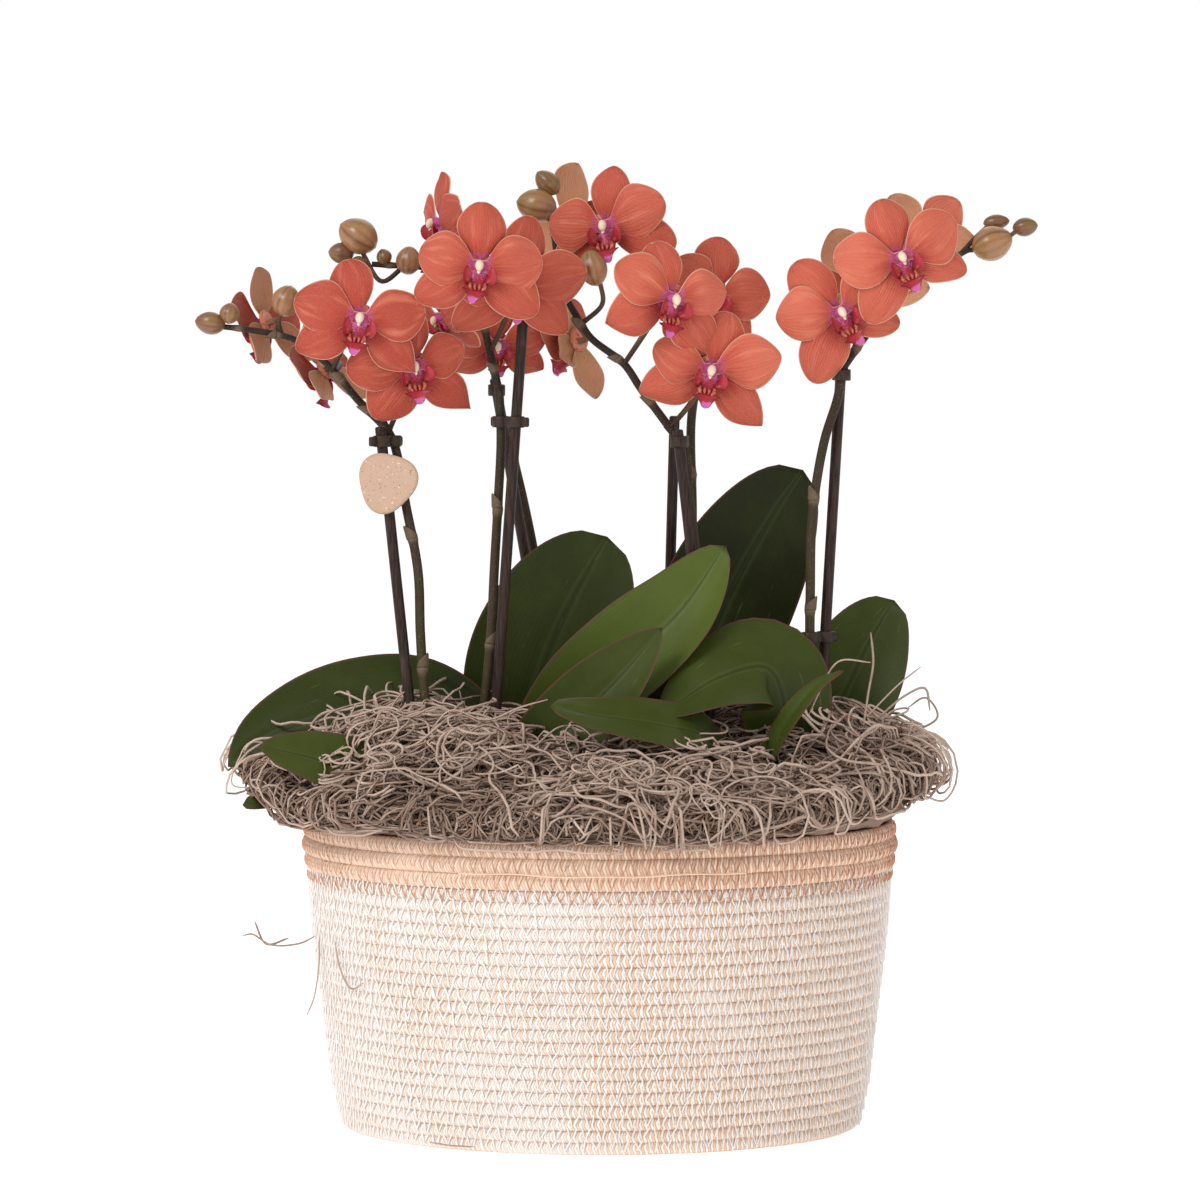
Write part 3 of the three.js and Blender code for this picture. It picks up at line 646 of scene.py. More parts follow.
# Collects the shells of one piece and makes one object of them.
class Pile:
    def __init__(self, *labels):
        self.points, self.faces, self.slots, self.uv = [], [], [], []
        self.values = {label: [] for label in labels}
        self.size = 0

    def add(self, points, faces, slot=0, uv=None, **values):
        count = len(points)
        self.points.append(np.asarray(points, dtype=float))
        self.faces += [tuple(int(i) + self.size for i in face) for face in faces]
        self.slots += [slot] * len(faces)
        self.uv.append(np.zeros((count, 2)) if uv is None else uv)
        for label, rows in self.values.items():
            rows.append(np.broadcast_to(np.asarray(values.get(label, 0.0), dtype=float), (count,)))
        self.size += count

    def build(self, name, materials, place=lambda points: points):
        values = {label: np.concatenate(rows) for label, rows in self.values.items()}
        thing = newObject(name, place(np.vstack(self.points)), self.faces, materials, values, np.vstack(self.uv))
        thing.data.polygons.foreach_set("material_index", np.asarray(self.slots, dtype=np.int32))
        return thing


def finishPiece(piece, slot, *nodes):
    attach(piece, body)
    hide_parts(*nodes)


# Geometry node tools

def circle(sides, radius):
    return put("GeometryNodeCurvePrimitiveCircle", {"Resolution": sides, "Radius": radius})


def named(name):
    return put("GeometryNodeInputNamedAttribute", {"Name": name}, "Attribute", data_type="FLOAT")


def randomValue(low, high, seed):
    inputs = {"Min": low, "Max": high, "Seed": seed}
    node = bench["tree"].nodes.new("FunctionNodeRandomValue")
    for socket in node.inputs:
        if socket.enabled and socket.name in inputs:
            plug(inputs[socket.name], socket)
    return Wire(next(socket for socket in node.outputs if socket.enabled))


def closeTree(given, geometry):
    real = put("GeometryNodeRealizeInstances", {"Geometry": geometry})
    return giveOut(Geometry=put("GeometryNodeSetMaterial", {"Geometry": real, "Material": given["Material"]}))


# Runs a tree on an object and keeps the result as a plain mesh. The sizes are in millimetres.
def grow(source, tree, name, sizes={}, **inputs):
    modifier = source.modifiers.new("grow", "NODES")
    modifier.node_group = tree
    inputs.update({label: size * mm for label, size in sizes.items()})
    for item in tree.interface.items_tree:
        if item.in_out == "INPUT" and item.name in inputs:
            modifier[item.identifier] = inputs[item.name]
    graph = bpy.context.evaluated_depsgraph_get()
    mesh = bpy.data.meshes.new_from_object(source.evaluated_get(graph), preserve_all_data_layers=True, depsgraph=graph)
    mesh.name = name
    mesh.shade_smooth()
    source.modifiers.remove(modifier)
    bpy.data.objects.remove(source)
    return addObject(name, mesh)


# Moves a ring of rope in and out a little, the same way for anything that lies at the same place.
def makeSwayTree():
    given = newTree("handMadeSway", "Geometry", {"Geometry": "Geometry", "Amount": 0.6 * mm, "Pattern": 14.0})
    place = put("GeometryNodeInputPosition")
    outward = vectors("NORMALIZE", vectors("MULTIPLY", place, (1, 1, 0)))
    shift = (noise(place, given["Pattern"], 1) - 0.5) * 2.0 * given["Amount"]
    lift = (noise(outward, 5.0, 1) - 0.5) * given["Amount"]
    sideways = put("ShaderNodeVectorMath", {0: outward, "Scale": shift}, operation="SCALE")
    move = vectors("ADD", sideways, joinXYZ(0.0, 0.0, lift))
    return giveOut(Geometry=put("GeometryNodeSetPosition", {"Geometry": given["Geometry"], "Offset": move}))


# One ring of points for each point of the source, as wide as its ringRadius says.
def swayedRings(given, steps, **turned):
    width = named("ringRadius")
    rings = {"Points": given["Geometry"], "Instance": circle(steps, 1.0), "Scale": joinXYZ(width, width, 1.0), **turned}
    real = put("GeometryNodeRealizeInstances", {"Geometry": put("GeometryNodeInstanceOnPoints", rings)})
    return put("GeometryNodeGroup", {"Geometry": real, "Amount": given["Sway"]}, node_tree=swayTree)


# Rings of cord.
def makeCoilTree():
    given = newTree("ropeRows", "Geometry", {
        "Geometry": "Geometry", "Steps": 160, "Sides": 10, "Height": 5.3 * mm, "Depth": 4.6 * mm,
        "Sway": 0.5 * mm, "Material": "Material",
    })
    upright = put("GeometryNodeSetCurveNormal", {"Curve": swayedRings(given, given["Steps"])}, mode="Z_UP")
    height = parts(put("GeometryNodeInputPosition"))[1]
    store = {"Geometry": circle(given["Sides"], 0.5), "Name": "across", "Value": height * 2.0}
    stored = put("GeometryNodeStoreNamedAttribute", store, data_type="FLOAT", domain="POINT")
    shape = joinXYZ(given["Depth"], given["Height"], 1.0)
    oval = put("GeometryNodeTransform", {"Geometry": stored, "Scale": shape})
    return closeTree(given, put("GeometryNodeCurveToMesh", {"Curve": upright, "Profile Curve": oval}))


# Stitches along the rings: each is a pair of legs that meet at the top.
def makeStitchTree():
    given = newTree("seamStitches", "Geometry", {
        "Geometry": "Geometry", "Stitches": 98, "Width": 4.0 * mm, "Height": 5.0 * mm, "Lift": 0.4 * mm,
        "Thread": 0.3 * mm, "Turn": 0.25, "Sway": 0.5 * mm, "Seed": 1, "Material": "Material",
    })
    pair = bench["tree"].nodes.new("GeometryNodeJoinGeometry")
    tip = joinXYZ(0.0, given["Height"] * 0.5, 0.0)
    for side in (-0.5, 0.5):
        foot = joinXYZ(given["Width"] * side, given["Height"] * -0.5, 0.0)
        bend = joinXYZ(given["Width"] * (side * 0.55), 0.0, given["Lift"])
        leg = {"Resolution": 3, "Start": foot, "Middle": bend, "End": tip}
        plug(put("GeometryNodeCurveQuadraticBezier", leg), pair.inputs[0])
    legs = {"Curve": Wire(pair.outputs[0]), "Profile Curve": circle(3, given["Thread"])}
    thread = put("GeometryNodeCurveToMesh", legs)
    start = joinXYZ(0.0, 0.0, randomValue(0.0, 6.28, given["Seed"]))
    rings = swayedRings(given, given["Stitches"], Rotation=put("FunctionNodeEulerToRotation", {0: start}))
    outward = vectors("MULTIPLY", put("GeometryNodeInputPosition"), (1, 1, 0))
    axes = {"Primary Axis": outward, "Secondary Axis": vectors("CROSS_PRODUCT", (0, 0, 1), outward)}
    facing = put("FunctionNodeAxesToRotation", axes, primary_axis="Z", secondary_axis="X")
    twist = joinXYZ(0.0, 0.0, randomValue(given["Turn"] * -1.0, given["Turn"], 7))
    aimed = {"Rotation": facing, "Rotate By": put("FunctionNodeEulerToRotation", {0: twist})}
    facing = put("FunctionNodeRotateRotation", aimed, rotation_space="LOCAL")
    stretch = joinXYZ(randomValue(0.75, 1.2, 3), randomValue(0.85, 1.15, 5), 1.0)
    sewn = {"Points": rings, "Instance": thread, "Rotation": facing, "Scale": stretch}
    return closeTree(given, put("GeometryNodeInstanceOnPoints", sewn))


# Round strands along the edges of the source, as thick as its "thick" says.
def makeStrandTree():
    given = newTree("strands", "Geometry", {"Geometry": "Geometry", "Sides": 3, "Material": "Material"})
    lines = put("GeometryNodeMeshToCurve", {"Mesh": given["Geometry"]})
    swept = {"Curve": lines, "Profile Curve": circle(given["Sides"], 1.0), "Scale": named("thick"), "Fill Caps": True}
    return closeTree(given, put("GeometryNodeCurveToMesh", swept))


swayTree = makeSwayTree()
coilTree = makeCoilTree()
stitchTree = makeStitchTree()
strandTree = makeStrandTree()


# Lines as loose edges, with a thickness and other values at each point.
def linesObject(name, lines, thick, **values):
    edges = []
    start = 0
    for line in lines:
        edges += [(start + i, start + i + 1) for i in range(len(line) - 1)]
        start += len(line)
    numbers = {"thick": np.concatenate(thick) * mm, **{label: np.concatenate(rows) for label, rows in values.items()}}
    return newObject(name, np.vstack(lines), [], [], numbers, edges=edges)


print("node trees are made")


# Basket

basket = {
    "height": 125, "rowHeight": 5.06, "bandRows": 3, "bandRowHeight": 6.2, "cordDepth": 5.0,
    "ringSteps": 168, "sides": 10, "sway": 0.45,
    "outline": [(103, 0), (107, 3), (110.5, 20), (113, 40), (115.5, 60), (118, 80), (120, 106.1)],
    "bandOutline": [(120.3, 106.4), (122.5, 113.4), (121.5, 123.5), (119.9, 125)],
    "stitches": 118, "stitchLegs": 5.0, "thread": 0.36, "bandStitches": 164,
}
sway = {"Sway": basket["sway"]}


def outerRadius(height, outline):
    radii, heights = zip(*outline)
    return float(np.interp(height, heights, radii))


# One row of rope or of stitches for each ring: its radius and its height.
def sewRows(name, slot, node, rings, tree, sizes, **inputs):
    values = {"ringRadius": [r * mm for r, _ in rings], "row": np.arange(len(rings)) * 0.618 % 1}
    source = newObject(name + "Rings", [(0, 0, z) for _, z in rings], [], [], values)
    finishPiece(grow(source, tree, name, sizes, **inputs), slot, node)


def buildWall(foot):
    count = round(foot / basket["rowHeight"])
    pitch = foot / count
    depth = basket["cordDepth"]
    heights = [pitch * max(i + 0.5, 0.6) for i in range(count)]
    rings = [(outerRadius(z, basket["outline"]) - depth / 2, z) for z in heights]
    sizes = {"Height": pitch * 1.16, "Depth": depth, **sway}
    shape = {"Steps": basket["ringSteps"], "Sides": basket["sides"], "Material": whiteRopeSkin}
    sewRows("basket_rope_rows", "cotton_rope", "basket_wall", rings, coilTree, sizes, **shape)
    seams = [(outerRadius(pitch * i, basket["outline"]) - 0.05, pitch * i + 0.3) for i in range(1, count + 1)]
    sizes = {"Width": basket["stitchLegs"], "Height": pitch * 1.35, "Lift": 0.1, "Thread": basket["thread"], **sway}
    sewing = {"Stitches": basket["stitches"], "Turn": 0.22, "Seed": 4, "Material": whiteThreadSkin}
    sewRows("basket_zigzag_thread", "cotton_rope", "basket_wall", seams, stitchTree, sizes, **sewing)


# The bottom is one flat spiral of the same cord.
def buildBase():
    edge, depth = basket["outline"][0][0], basket["cordDepth"]
    count = round(edge / basket["rowHeight"])
    pitch = edge / count
    rings = [(pitch * (i + 0.5), depth / 2) for i in range(count)]
    sizes = {"Height": depth * 0.96, "Depth": pitch * 1.08, "Sway": 0.0}
    shape = {"Steps": 72, "Sides": 8, "Material": whiteRopeSkin}
    sewRows("basket_base", "cotton_rope", "basket_wall", rings, coilTree, sizes, **shape)


def buildBand(foot):
    pitch, depth = basket["bandRowHeight"], basket["cordDepth"]
    heights = [foot + pitch * (i + 0.5) for i in range(basket["bandRows"])]
    rings = [(outerRadius(z, basket["bandOutline"]) - depth / 2, z) for z in heights]
    sizes = {"Height": pitch * 1.14, "Depth": depth, **sway}
    shape = {"Steps": basket["ringSteps"], "Sides": 12, "Material": tanRopeSkin}
    sewRows("rim_rope_rows", "jute_rope", "rim_band", rings, coilTree, sizes, **shape)
    # its stitches lie across the face of each row and reach from crease to crease
    seams = [(outerRadius(z, basket["bandOutline"]) - 0.85, z) for z in [foot - 2.3, *heights]]
    sizes = {"Width": 3.4, "Height": -5.2, "Lift": 1.9, "Thread": 0.25, **sway}
    sewing = {"Stitches": basket["bandStitches"], "Turn": 0.12, "Seed": 9, "Material": sunkThreadAndShadeSkin}
    sewRows("rim_zigzag_thread", "jute_rope", "rim_band", seams, stitchTree, sizes, **sewing)
    # a loose end of the sewing thread lies along the second seam
    turns = np.radians(np.linspace(-117, -62, 60))
    wander = 0.35 * np.sin(turns * 9) + 0.2 * np.sin(turns * 23)
    radius = basket["bandOutline"][1][0] + 0.5
    line = np.column_stack([radius * np.cos(turns), radius * np.sin(turns), foot + pitch + wander])
    loose = linesObject("looseLine", [line], [np.full(60, 0.38)])
    loose = grow(loose, strandTree, "rim_loose_thread", Sides=6, Material=tanThreadSkin)
    finishPiece(loose, "jute_rope", "rim_band")


bandFoot = basket["height"] - basket["bandRows"] * basket["bandRowHeight"]
buildWall(bandFoot)
buildBase()
buildBand(bandFoot)
print("basket is built")


# Moss

moss = {
    "rim": {"front": 127, "left": 144, "right": 133},
    "top": {"middle": 158, "sides": 176, "edge": 132, "sideEdge": 150},
    "inside": 111, "underside": 114.8, "strands": 1750, "points": 29, "seed": 11,
    # where a leaf presses it down: the place from above, how far, how deep
    "dents": [((-112, -58), 24, 9), ((-5, -76), 16, 3), ((66, -62), 22, 5)],
    # where the moss stands up: the place from above, how far that spreads, the height, the number of strands
    "tufts": [
        ((-88, -40), 28, (3, 12), 110), ((-122, 2), 16, (1, 7), 50), ((112, -22), 20, (3, 12), 90),
        ((122, 14), 14, (1, 8), 40), ((-45, -62), 24, (3, 10), 80), ((14, -88), 32, (3, 11), 120),
        ((70, -88), 26, (2, 7), 55), ((0, 92), 55, (2, 8), 80),
    ],
}
# single strands that stand clear of the rest or have fallen down the side of the basket
freeStrands = [
    [(106, -60, 168), (108, -58, 181), (110, -56, 193), (109, -55, 205)],
    [(109, -56, 193), (96, -57, 193.5), (88, -59, 181), (84, -58, 172)],
    [(108, -40, 170), (121, -38, 183), (130, -36, 190)],
    [(112, -30, 168), (124, -30, 178), (132, -30, 181), (134, -31, 172)],
    [(-92, -58, 165), (-87, -56, 174), (-77, -56, 171), (-66, -57, 175), (-54, -58, 168)],
    [(-124, -40, 150), (-122, -41, 158), (-108, -42, 160), (-92, -42, 161), (-80, -42, 156)],
    [(-138, -22, 140), (-150, -20, 141), (-147, -20, 152), (-143, -20, 158), (-130, -22, 157)],
    [(-68, -60, 166), (-60, -60, 174), (-46, -60, 170), (-32, -58, 175), (-21, -56, 178)],
    [(38, -92, 150), (48, -94, 156), (51, -96, 149), (46, -97, 144)],
    [(124, -10, 160), (138, -12, 168), (133, -14, 176), (126, -13, 172)],
    [(-116, -31, 80), (-122, -30, 77), (-134, -26, 76), (-142, -22, 80), (-146, -20, 79)],
    [(-127, -24, 78.5), (-136, -23, 76), (-141, -20, 85)],
    [(-114, -33, 80), (-114, -35, 70), (-116, -33, 56), (-119.5, -25, 47)],
    [(-107, -52, 80), (-105, -56, 70), (-100, -64, 62), (-95, -70, 65)],
    [(-68, -90, 3.4), (-60, -94, 2.6), (-50, -97, 2.4)],
]


# A place on the mound: the angle round it, and how far down its side from the middle (0) to the hanging edge (1).
def moundPoint(angle, down, shrink=0.0):
    rimAt, topAt = moss["rim"], moss["top"]
    side = np.cos(angle)
    toSide = np.abs(side) ** 3
    reach = np.where(side < 0, rimAt["left"], rimAt["right"])
    rim = rimAt["front"] + (reach - rimAt["front"]) * toSide
    edge = topAt["edge"] + (topAt["sideEdge"] - topAt["edge"]) * toSide
    controls = []
    for share, top in ((0, 0), (0.35, 0.1), (0.65, 0.35), (0.88, 0.75), (1, 1)):
        shoulder = side**2 * min(1, 2 * share)
        crest = topAt["middle"] + (topAt["sides"] - topAt["middle"]) * shoulder
        controls.append((share * rim, crest + (edge - crest) * top))
    controls += [(rim - 3, edge * 0.5 + 63.2), (121.5 + 0 * rim, 126.4 + 0 * rim)]
    radii, heights = (np.array([control[k] + 0 * angle for control in controls]) for k in (0, 1))
    last = len(controls) - 1
    place = np.clip(down, 0, 1) * last
    index = np.clip(place.astype(int), 0, last - 1)
    f = place - index
    column = np.arange(len(angle))

    def between(table):
        rows = (np.maximum(index - 1, 0), index, index + 1, np.minimum(index + 2, last))
        before, here, there, beyond = (table[row, column] for row in rows)
        return (
            (2 * f**3 - 3 * f**2 + 1) * here
            + (f**3 - 2 * f**2 + f) * ((there - before) / 2)
            + (3 * f**2 - 2 * f**3) * there
            + (f**3 - f**2) * ((beyond - here) / 2)
        )

    radius = np.maximum(between(radii) - shrink, 0)
    height = between(heights) - shrink * np.clip(1.4 - down, 0.3, 1)
    x, y = radius * np.cos(angle), radius * np.sin(angle)
    for (left, front), reach, depth in moss["dents"]:
        height = height - depth * np.exp(-((x - left) ** 2 + (y - front) ** 2) / reach**2)
    return np.column_stack([x, y, np.maximum(height, 126)])


def moundNormal(angle, down):
    small = 0.01
    round1, round0 = moundPoint(angle + small, down), moundPoint(angle - small, down)
    low1, low0 = moundPoint(angle, np.minimum(down + small, 1)), moundPoint(angle, np.maximum(down - small, 0))
    normal = np.cross(low1 - low0, round1 - round0)
    normal /= np.linalg.norm(normal, axis=1)[:, None] + 1e-9
    inward = (normal * moundPoint(angle, down) * (1, 1, 0)).sum(axis=1) + normal[:, 2] * 60 < 0
    normal[inward] *= -1
    return normal


def buildMossBed():
    around, levels = 120, 30
    rng = np.random.default_rng(moss["seed"])
    angles = np.linspace(0, fullTurn, around, endpoint=False)
    bumps = list(zip((5, 8, 13, 21, 34, 47), rng.uniform(0, fullTurn, (6, 2))))
    rings = []
    for i in range(1, levels + 1):
        down = np.full(around, i / levels)
        swell = sum(np.sin(k * angles + a + 9 * i / levels * (k % 3 + 1) + b) for k, (a, b) in bumps)
        ring = moundPoint(angles, down, 3.0) + moundNormal(angles, down) * (0.35 * swell)[:, None]
        ring[:, 2] = np.maximum(ring[:, 2], 125.6)
        rings.append(ring)
    inside, underside = moss["inside"], moss["underside"]
    for radius, height in ((inside, 125.3), (inside, underside), (40, underside)):
        rings.append(np.column_stack([radius * np.cos(angles), radius * np.sin(angles), np.full(around, height)]))
    points, faces = skinOver(rings, (0, 0, moss["top"]["middle"] - 3), (0, 0, underside))
    finishPiece(newObject("moss_bed", points, faces, [mossBedSkin]), "moss", "moss")


# Curly strands that wander over the mound. Each turns steadily.
def curlyStrands(rng, angle, down, lengths, lifts):
    steps, count = moss["points"], len(angle)
    heading = rng.uniform(0, fullTurn, count)
    length = rng.uniform(*lengths, count)
    tightness = rng.normal(0, 1, count)
    tightness = np.sign(tightness) * (0.04 + 0.1 * np.abs(tightness))
    lift = rng.uniform(*lifts, count)
    phase = rng.uniform(0, fullTurn, (2, count))
    pace = rng.uniform(0.04, 0.16, (2, count))
    swing = rng.uniform(0.4, 2.8, count) * (1 + 0.08 * lift)
    stride = length / (steps - 1)
    rows = []
    for i in range(steps):
        place = moundPoint(angle, down)
        along = i * stride
        rise = lift + swing * np.sin(phase[0] + pace[0] * along) + 0.6 * np.sin(phase[1] + 3 * pace[1] * along)
        # both ends dip into the tangle
        ends = np.minimum(i, steps - 1 - i) / 4
        rise = np.where(ends < 1, rise * ends - 1.2 * (1 - ends), rise)
        spot = place + moundNormal(angle, down) * np.maximum(rise, -2.2)[:, None]
        overRim = np.linalg.norm(spot[:, :2], axis=1) > 123.5
        spot[:, 2] = np.maximum(spot[:, 2], np.where(overRim, 122.5 + 6 * np.cos(angle) ** 2, 126))
        rows.append(spot)
        tightness += rng.normal(0, 0.02, count)
        tightness *= 0.985
        heading += tightness * stride + rng.normal(0, 0.07, count)
        radius = np.maximum(np.linalg.norm(place[:, :2], axis=1), 22)
        angle = angle + stride * np.cos(heading) / radius
        reach = np.linalg.norm(moundPoint(angle, np.minimum(down + 0.02, 1)) - moundPoint(angle, down - 0.02), axis=1)
        # along the lower edge they run level
        room = np.where(np.sin(heading) > 0, np.clip((0.84 - down) / 0.16, 0, 1), 1)
        steady = np.where(down > 0.5, 0.9, 1.0)
        heading = np.arctan2(room * steady * np.sin(heading), np.cos(heading))
        down = down + stride * np.sin(heading) * 0.04 / np.maximum(reach, 2.0)
        heading = np.where(down < 0.04, -heading, heading)
        down = np.clip(down, 0.04, 0.84)
    return np.array(rows).transpose(1, 0, 2), lift


def strandPiece(name, lines, tones, radii):
    thick, tone = [], []
    for line, radius, shade in zip(lines, radii, tones):
        steps = np.arange(len(line))
        thick.append(radius * np.clip(np.minimum(steps, steps[::-1]) / 6 + 0.5, 0, 1))
        tone.append(np.full(len(line), shade))
    source = linesObject(name + "Lines", list(lines), thick, tone=tone)
    finishPiece(grow(source, strandTree, name, Sides=3, Material=mossStrandSkin), "moss", "moss")


def buildMossStrands():
    rng = np.random.default_rng(moss["seed"] + 1)
    count = moss["strands"]
    front = rng.random(count) < 0.5
    angle = np.where(front, rng.normal(-np.pi / 2, 0.75, count), rng.uniform(-np.pi, np.pi, count))
    down = 0.1 + 0.74 * rng.random(count) ** 0.75
    lines, lift = curlyStrands(rng, angle, down, (50, 140), (-1.8, 3.4))
    order = np.argsort(lift)
    # painted light: strands that rise higher over the mound are lighter, deeper ones darker
    tones = np.clip(0.2 + 0.17 * lift + rng.normal(0, 0.16, count), 0, 1)
    radii = rng.uniform(0.38, 0.66, count)
    for label, share in (("low", order[: count // 2]), ("high", order[count // 2 :])):
        strandPiece("moss_strands_" + label, lines[share], tones[share], radii[share])
    raised, heights = [], []
    for (x, y), spread, lifts, number in moss["tufts"]:
        x, y = rng.normal(x, spread / 2, number), rng.normal(y, spread / 2, number)
        angle = np.arctan2(y, x)
        rim = np.linalg.norm(moundPoint(angle, np.full(number, 4 / 6))[:, :2], axis=1)
        share = np.clip(np.hypot(x, y) / rim, 0.1, 1)
        down = np.interp(share, (0, 0.35, 0.65, 0.88, 1), (0, 1 / 6, 2 / 6, 3 / 6, 4 / 6))
        lines, lift = curlyStrands(rng, angle, down, (35, 95), lifts)
        raised.append(lines)
        heights.append(lift)
    lift = np.concatenate(heights)
    # painted light: the standing loops are lighter, more so the higher they rise
    tones = np.clip(0.72 + 0.03 * lift + rng.normal(0, 0.14, len(lift)), 0, 1)
    strandPiece("moss_loops", np.vstack(raised), tones, rng.uniform(0.45, 0.75, len(lift)))
    free = [smoothLine(points, 26) for points in freeStrands]
    strandPiece("moss_free_strands", free, rng.uniform(0.6, 1, len(free)), rng.uniform(0.38, 0.55, len(free)))


buildMossBed()
buildMossStrands()
print("moss is laid")


# Leaves: the midrib from the crown to the tip, the way the upper side faces, at the tip too where the leaf turns,
# the greatest width, the rise of the edges, how bright the leaf is, and how pointed its tip is.

leaves = {
    "west_long": {
        "midrib": [(-57, -6, 115.2), (-50, -7, 142), (-54, -8, 162), (-73, -9, 172), (-96, -11, 171),
                   (-120, -14, 166), (-138, -16, 159), (-152, -18, 148)],
        "faces": (0.1, -0.9, 0.45), "width": 44, "fold": 0.16, "tone": 0.3, "point": 0.5,
    },
    "west_low": {
        "midrib": [(-62, -43, 115.2), (-76, -48, 136), (-94, -57, 148), (-115, -62, 155), (-137, -62, 160)],
        "faces": (-0.1, -0.75, 0.65), "width": 29, "fold": 0.1, "tone": 0.55, "point": 0.3,
    },
    "west_small": {
        "midrib": [(-70, -14, 115.2), (-97, -8, 131), (-122, -4, 137), (-147, 0, 131)],
        "faces": (0, -0.5, 0.87), "width": 24, "fold": 0.1, "tone": 0.5,
    },
    "west_back": {
        "midrib": [(-38, 8, 115.2), (-33, 8.5, 150), (-25, 8.5, 183), (-13, 9, 212), (3, 10, 241)],
        "faces": (0.1, -0.95, 0.25), "width": 64, "fold": 0.16, "tone": 0.3,
    },
    "west_bright": {
        "midrib": [(-36, -31, 115.2), (-29, -31, 148), (-10, -31, 174), (14, -33, 195), (33, -34, 213), (51, -34, 239)],
        "faces": (-0.1, -0.9, 0.4), "width": 41, "fold": 0.4, "tone": 0.78, "point": 0.15,
    },
    "west_young": {
        "midrib": [(-46, -36, 115.2), (-30, -43, 148), (-6, -49, 172), (11, -52, 190), (25, -54, 207)],
        "faces": (-0.15, -0.9, 0.3), "width": 33, "fold": 0.42, "tone": 0.4, "point": 0.5,
    },
    "north_tall": {
        "midrib": [(12, 38, 115.2), (24, 36, 150), (42, 33, 190), (58, 30, 225), (72, 27, 250), (84, 25, 268)],
        "faces": (0.1, -0.96, 0.25), "width": 57, "fold": 0.14, "tone": 0.05,
    },
    "north_back": {
        "midrib": [(-14, 60, 115.2), (-24, 70, 143), (-40, 84, 161), (-58, 94, 166), (-78, 102, 158)],
        "faces": (0.3, -0.4, 0.87), "width": 44, "fold": 0.16, "tone": 0.4,
    },
    "east_low": {
        "midrib": [(44, -38, 115.2), (50, -52, 148), (43, -63, 163), (22, -72, 169), (0, -79, 172.5), (-20, -82, 177)],
        "faces": (0.05, -0.62, 0.8), "width": 27, "fold": 0.12, "tone": 0.55,
    },
    "east_arching": {
        "midrib": [(60, -32, 115.2), (69, -34, 145), (75, -38, 172), (68, -44, 190), (49, -52, 187), (25, -59, 172)],
        "faces": (0.7, -0.7, 0), "tipFaces": (-0.3, -0.55, 0.78), "width": 44, "fold": 0.1, "tone": 0.4,
    },
    "east_strap": {
        "midrib": [(70, -38, 115.2), (66, -54, 146), (75, -62, 168), (88, -63, 184), (98, -61, 190)],
        "faces": (-0.6, -0.55, 0.6), "width": 14, "fold": 0.25, "tone": 0.6, "point": 0.6,
    },
    "east_round": {
        "midrib": [(78, -6, 115.2), (88, 0, 150), (102, 4, 180), (112, 6, 200), (121, 6, 215)],
        "faces": (-0.1, -0.95, 0.2), "width": 44, "fold": 0.12, "tone": 0.35,
    },
}
leafSkinSteps = {"along": 46, "around": 36, "middle": 1.9, "edge": 0.8}


def leafWidth(along, point):
    belly = np.sin(np.pi * along**1.35) ** (0.75 + (0.6 * point - 0.29) * along)
    return np.maximum(belly, 0.24 * (1 - np.clip((along - 0.3) / 0.25, 0, 1)))


def buildLeaf(name, plan, seed):
    count, middle, edge = leafSkinSteps["along"], leafSkinSteps["middle"], leafSkinSteps["edge"]
    midrib = smoothLine(plan["midrib"], count + 2)
    faces = np.array(plan["faces"], dtype=float)
    turning = np.array(plan.get("tipFaces", plan["faces"]), dtype=float) - faces
    across, face = sheetSection(leafSkinSteps["around"], 0.7)
    waves = np.random.default_rng(seed).uniform(0, fullTurn, 3)
    alongs = np.arange(1, count + 1) / (count + 1)
    rings, rim = [], []
    for i, along in enumerate(alongs, 1):
        tangent = unit(midrib[i + 1] - midrib[i - 1])
        side = unit(np.cross(tangent, faces + turning * along))
        normal = unit(np.cross(side, tangent))
        half = plan["width"] / 2 * float(leafWidth(along, plan.get("point", 0)))
        half *= 1 + 0.015 * math.sin(9 * along + waves[0])
        shape = plan["fold"] * half * np.abs(across) ** 1.5
        groove = 0.9 * np.exp(-((across * half / 1.6) ** 2)) * min(1, half / 8)
        ripple = across**2 * np.sign(across) * 0.9 * math.sin(7 * along + waves[1]) * half / 20
        swell = -0.035 * half * np.sin(np.pi * np.abs(across)) + 0.5 * math.sin(5 * along + waves[2]) * (1 - across**2)
        height = shape - groove + ripple + swell + face * (middle + (edge - middle) * across**2) / 2
        rings.append(midrib[i] + np.outer(across * half, side) + np.outer(height, normal))
        rim.append(np.minimum((1 - np.abs(across)) * half, (1 - along) * lineLength(plan["midrib"])))
    points, faceList = skinOver(rings, midrib[0], midrib[-1])
    back = capped(0, np.tile(np.clip(-face * 3, 0, 1), count), 0)
    values = {"tone": np.full(len(points), plan["tone"]), "rim": capped(9, rim, 0), "back": back}
    leaf = newObject(name + "_blade", points, faceList, [leafSkin], values, sheetUv(across, alongs))
    finishPiece(leaf, "leaf", name)


for index, (leafName, leafPlan) in enumerate(leaves.items()):
    buildLeaf("leaf_" + leafName, leafPlan, 40 + index)
print("leaves are grown")


# Spikes: stem, upper stem (rachis), the stalks of its flowers and of its buds, and where the stem has a scale leaf.
# A bud has its middle, its axis, its length and width, and how bright it is.

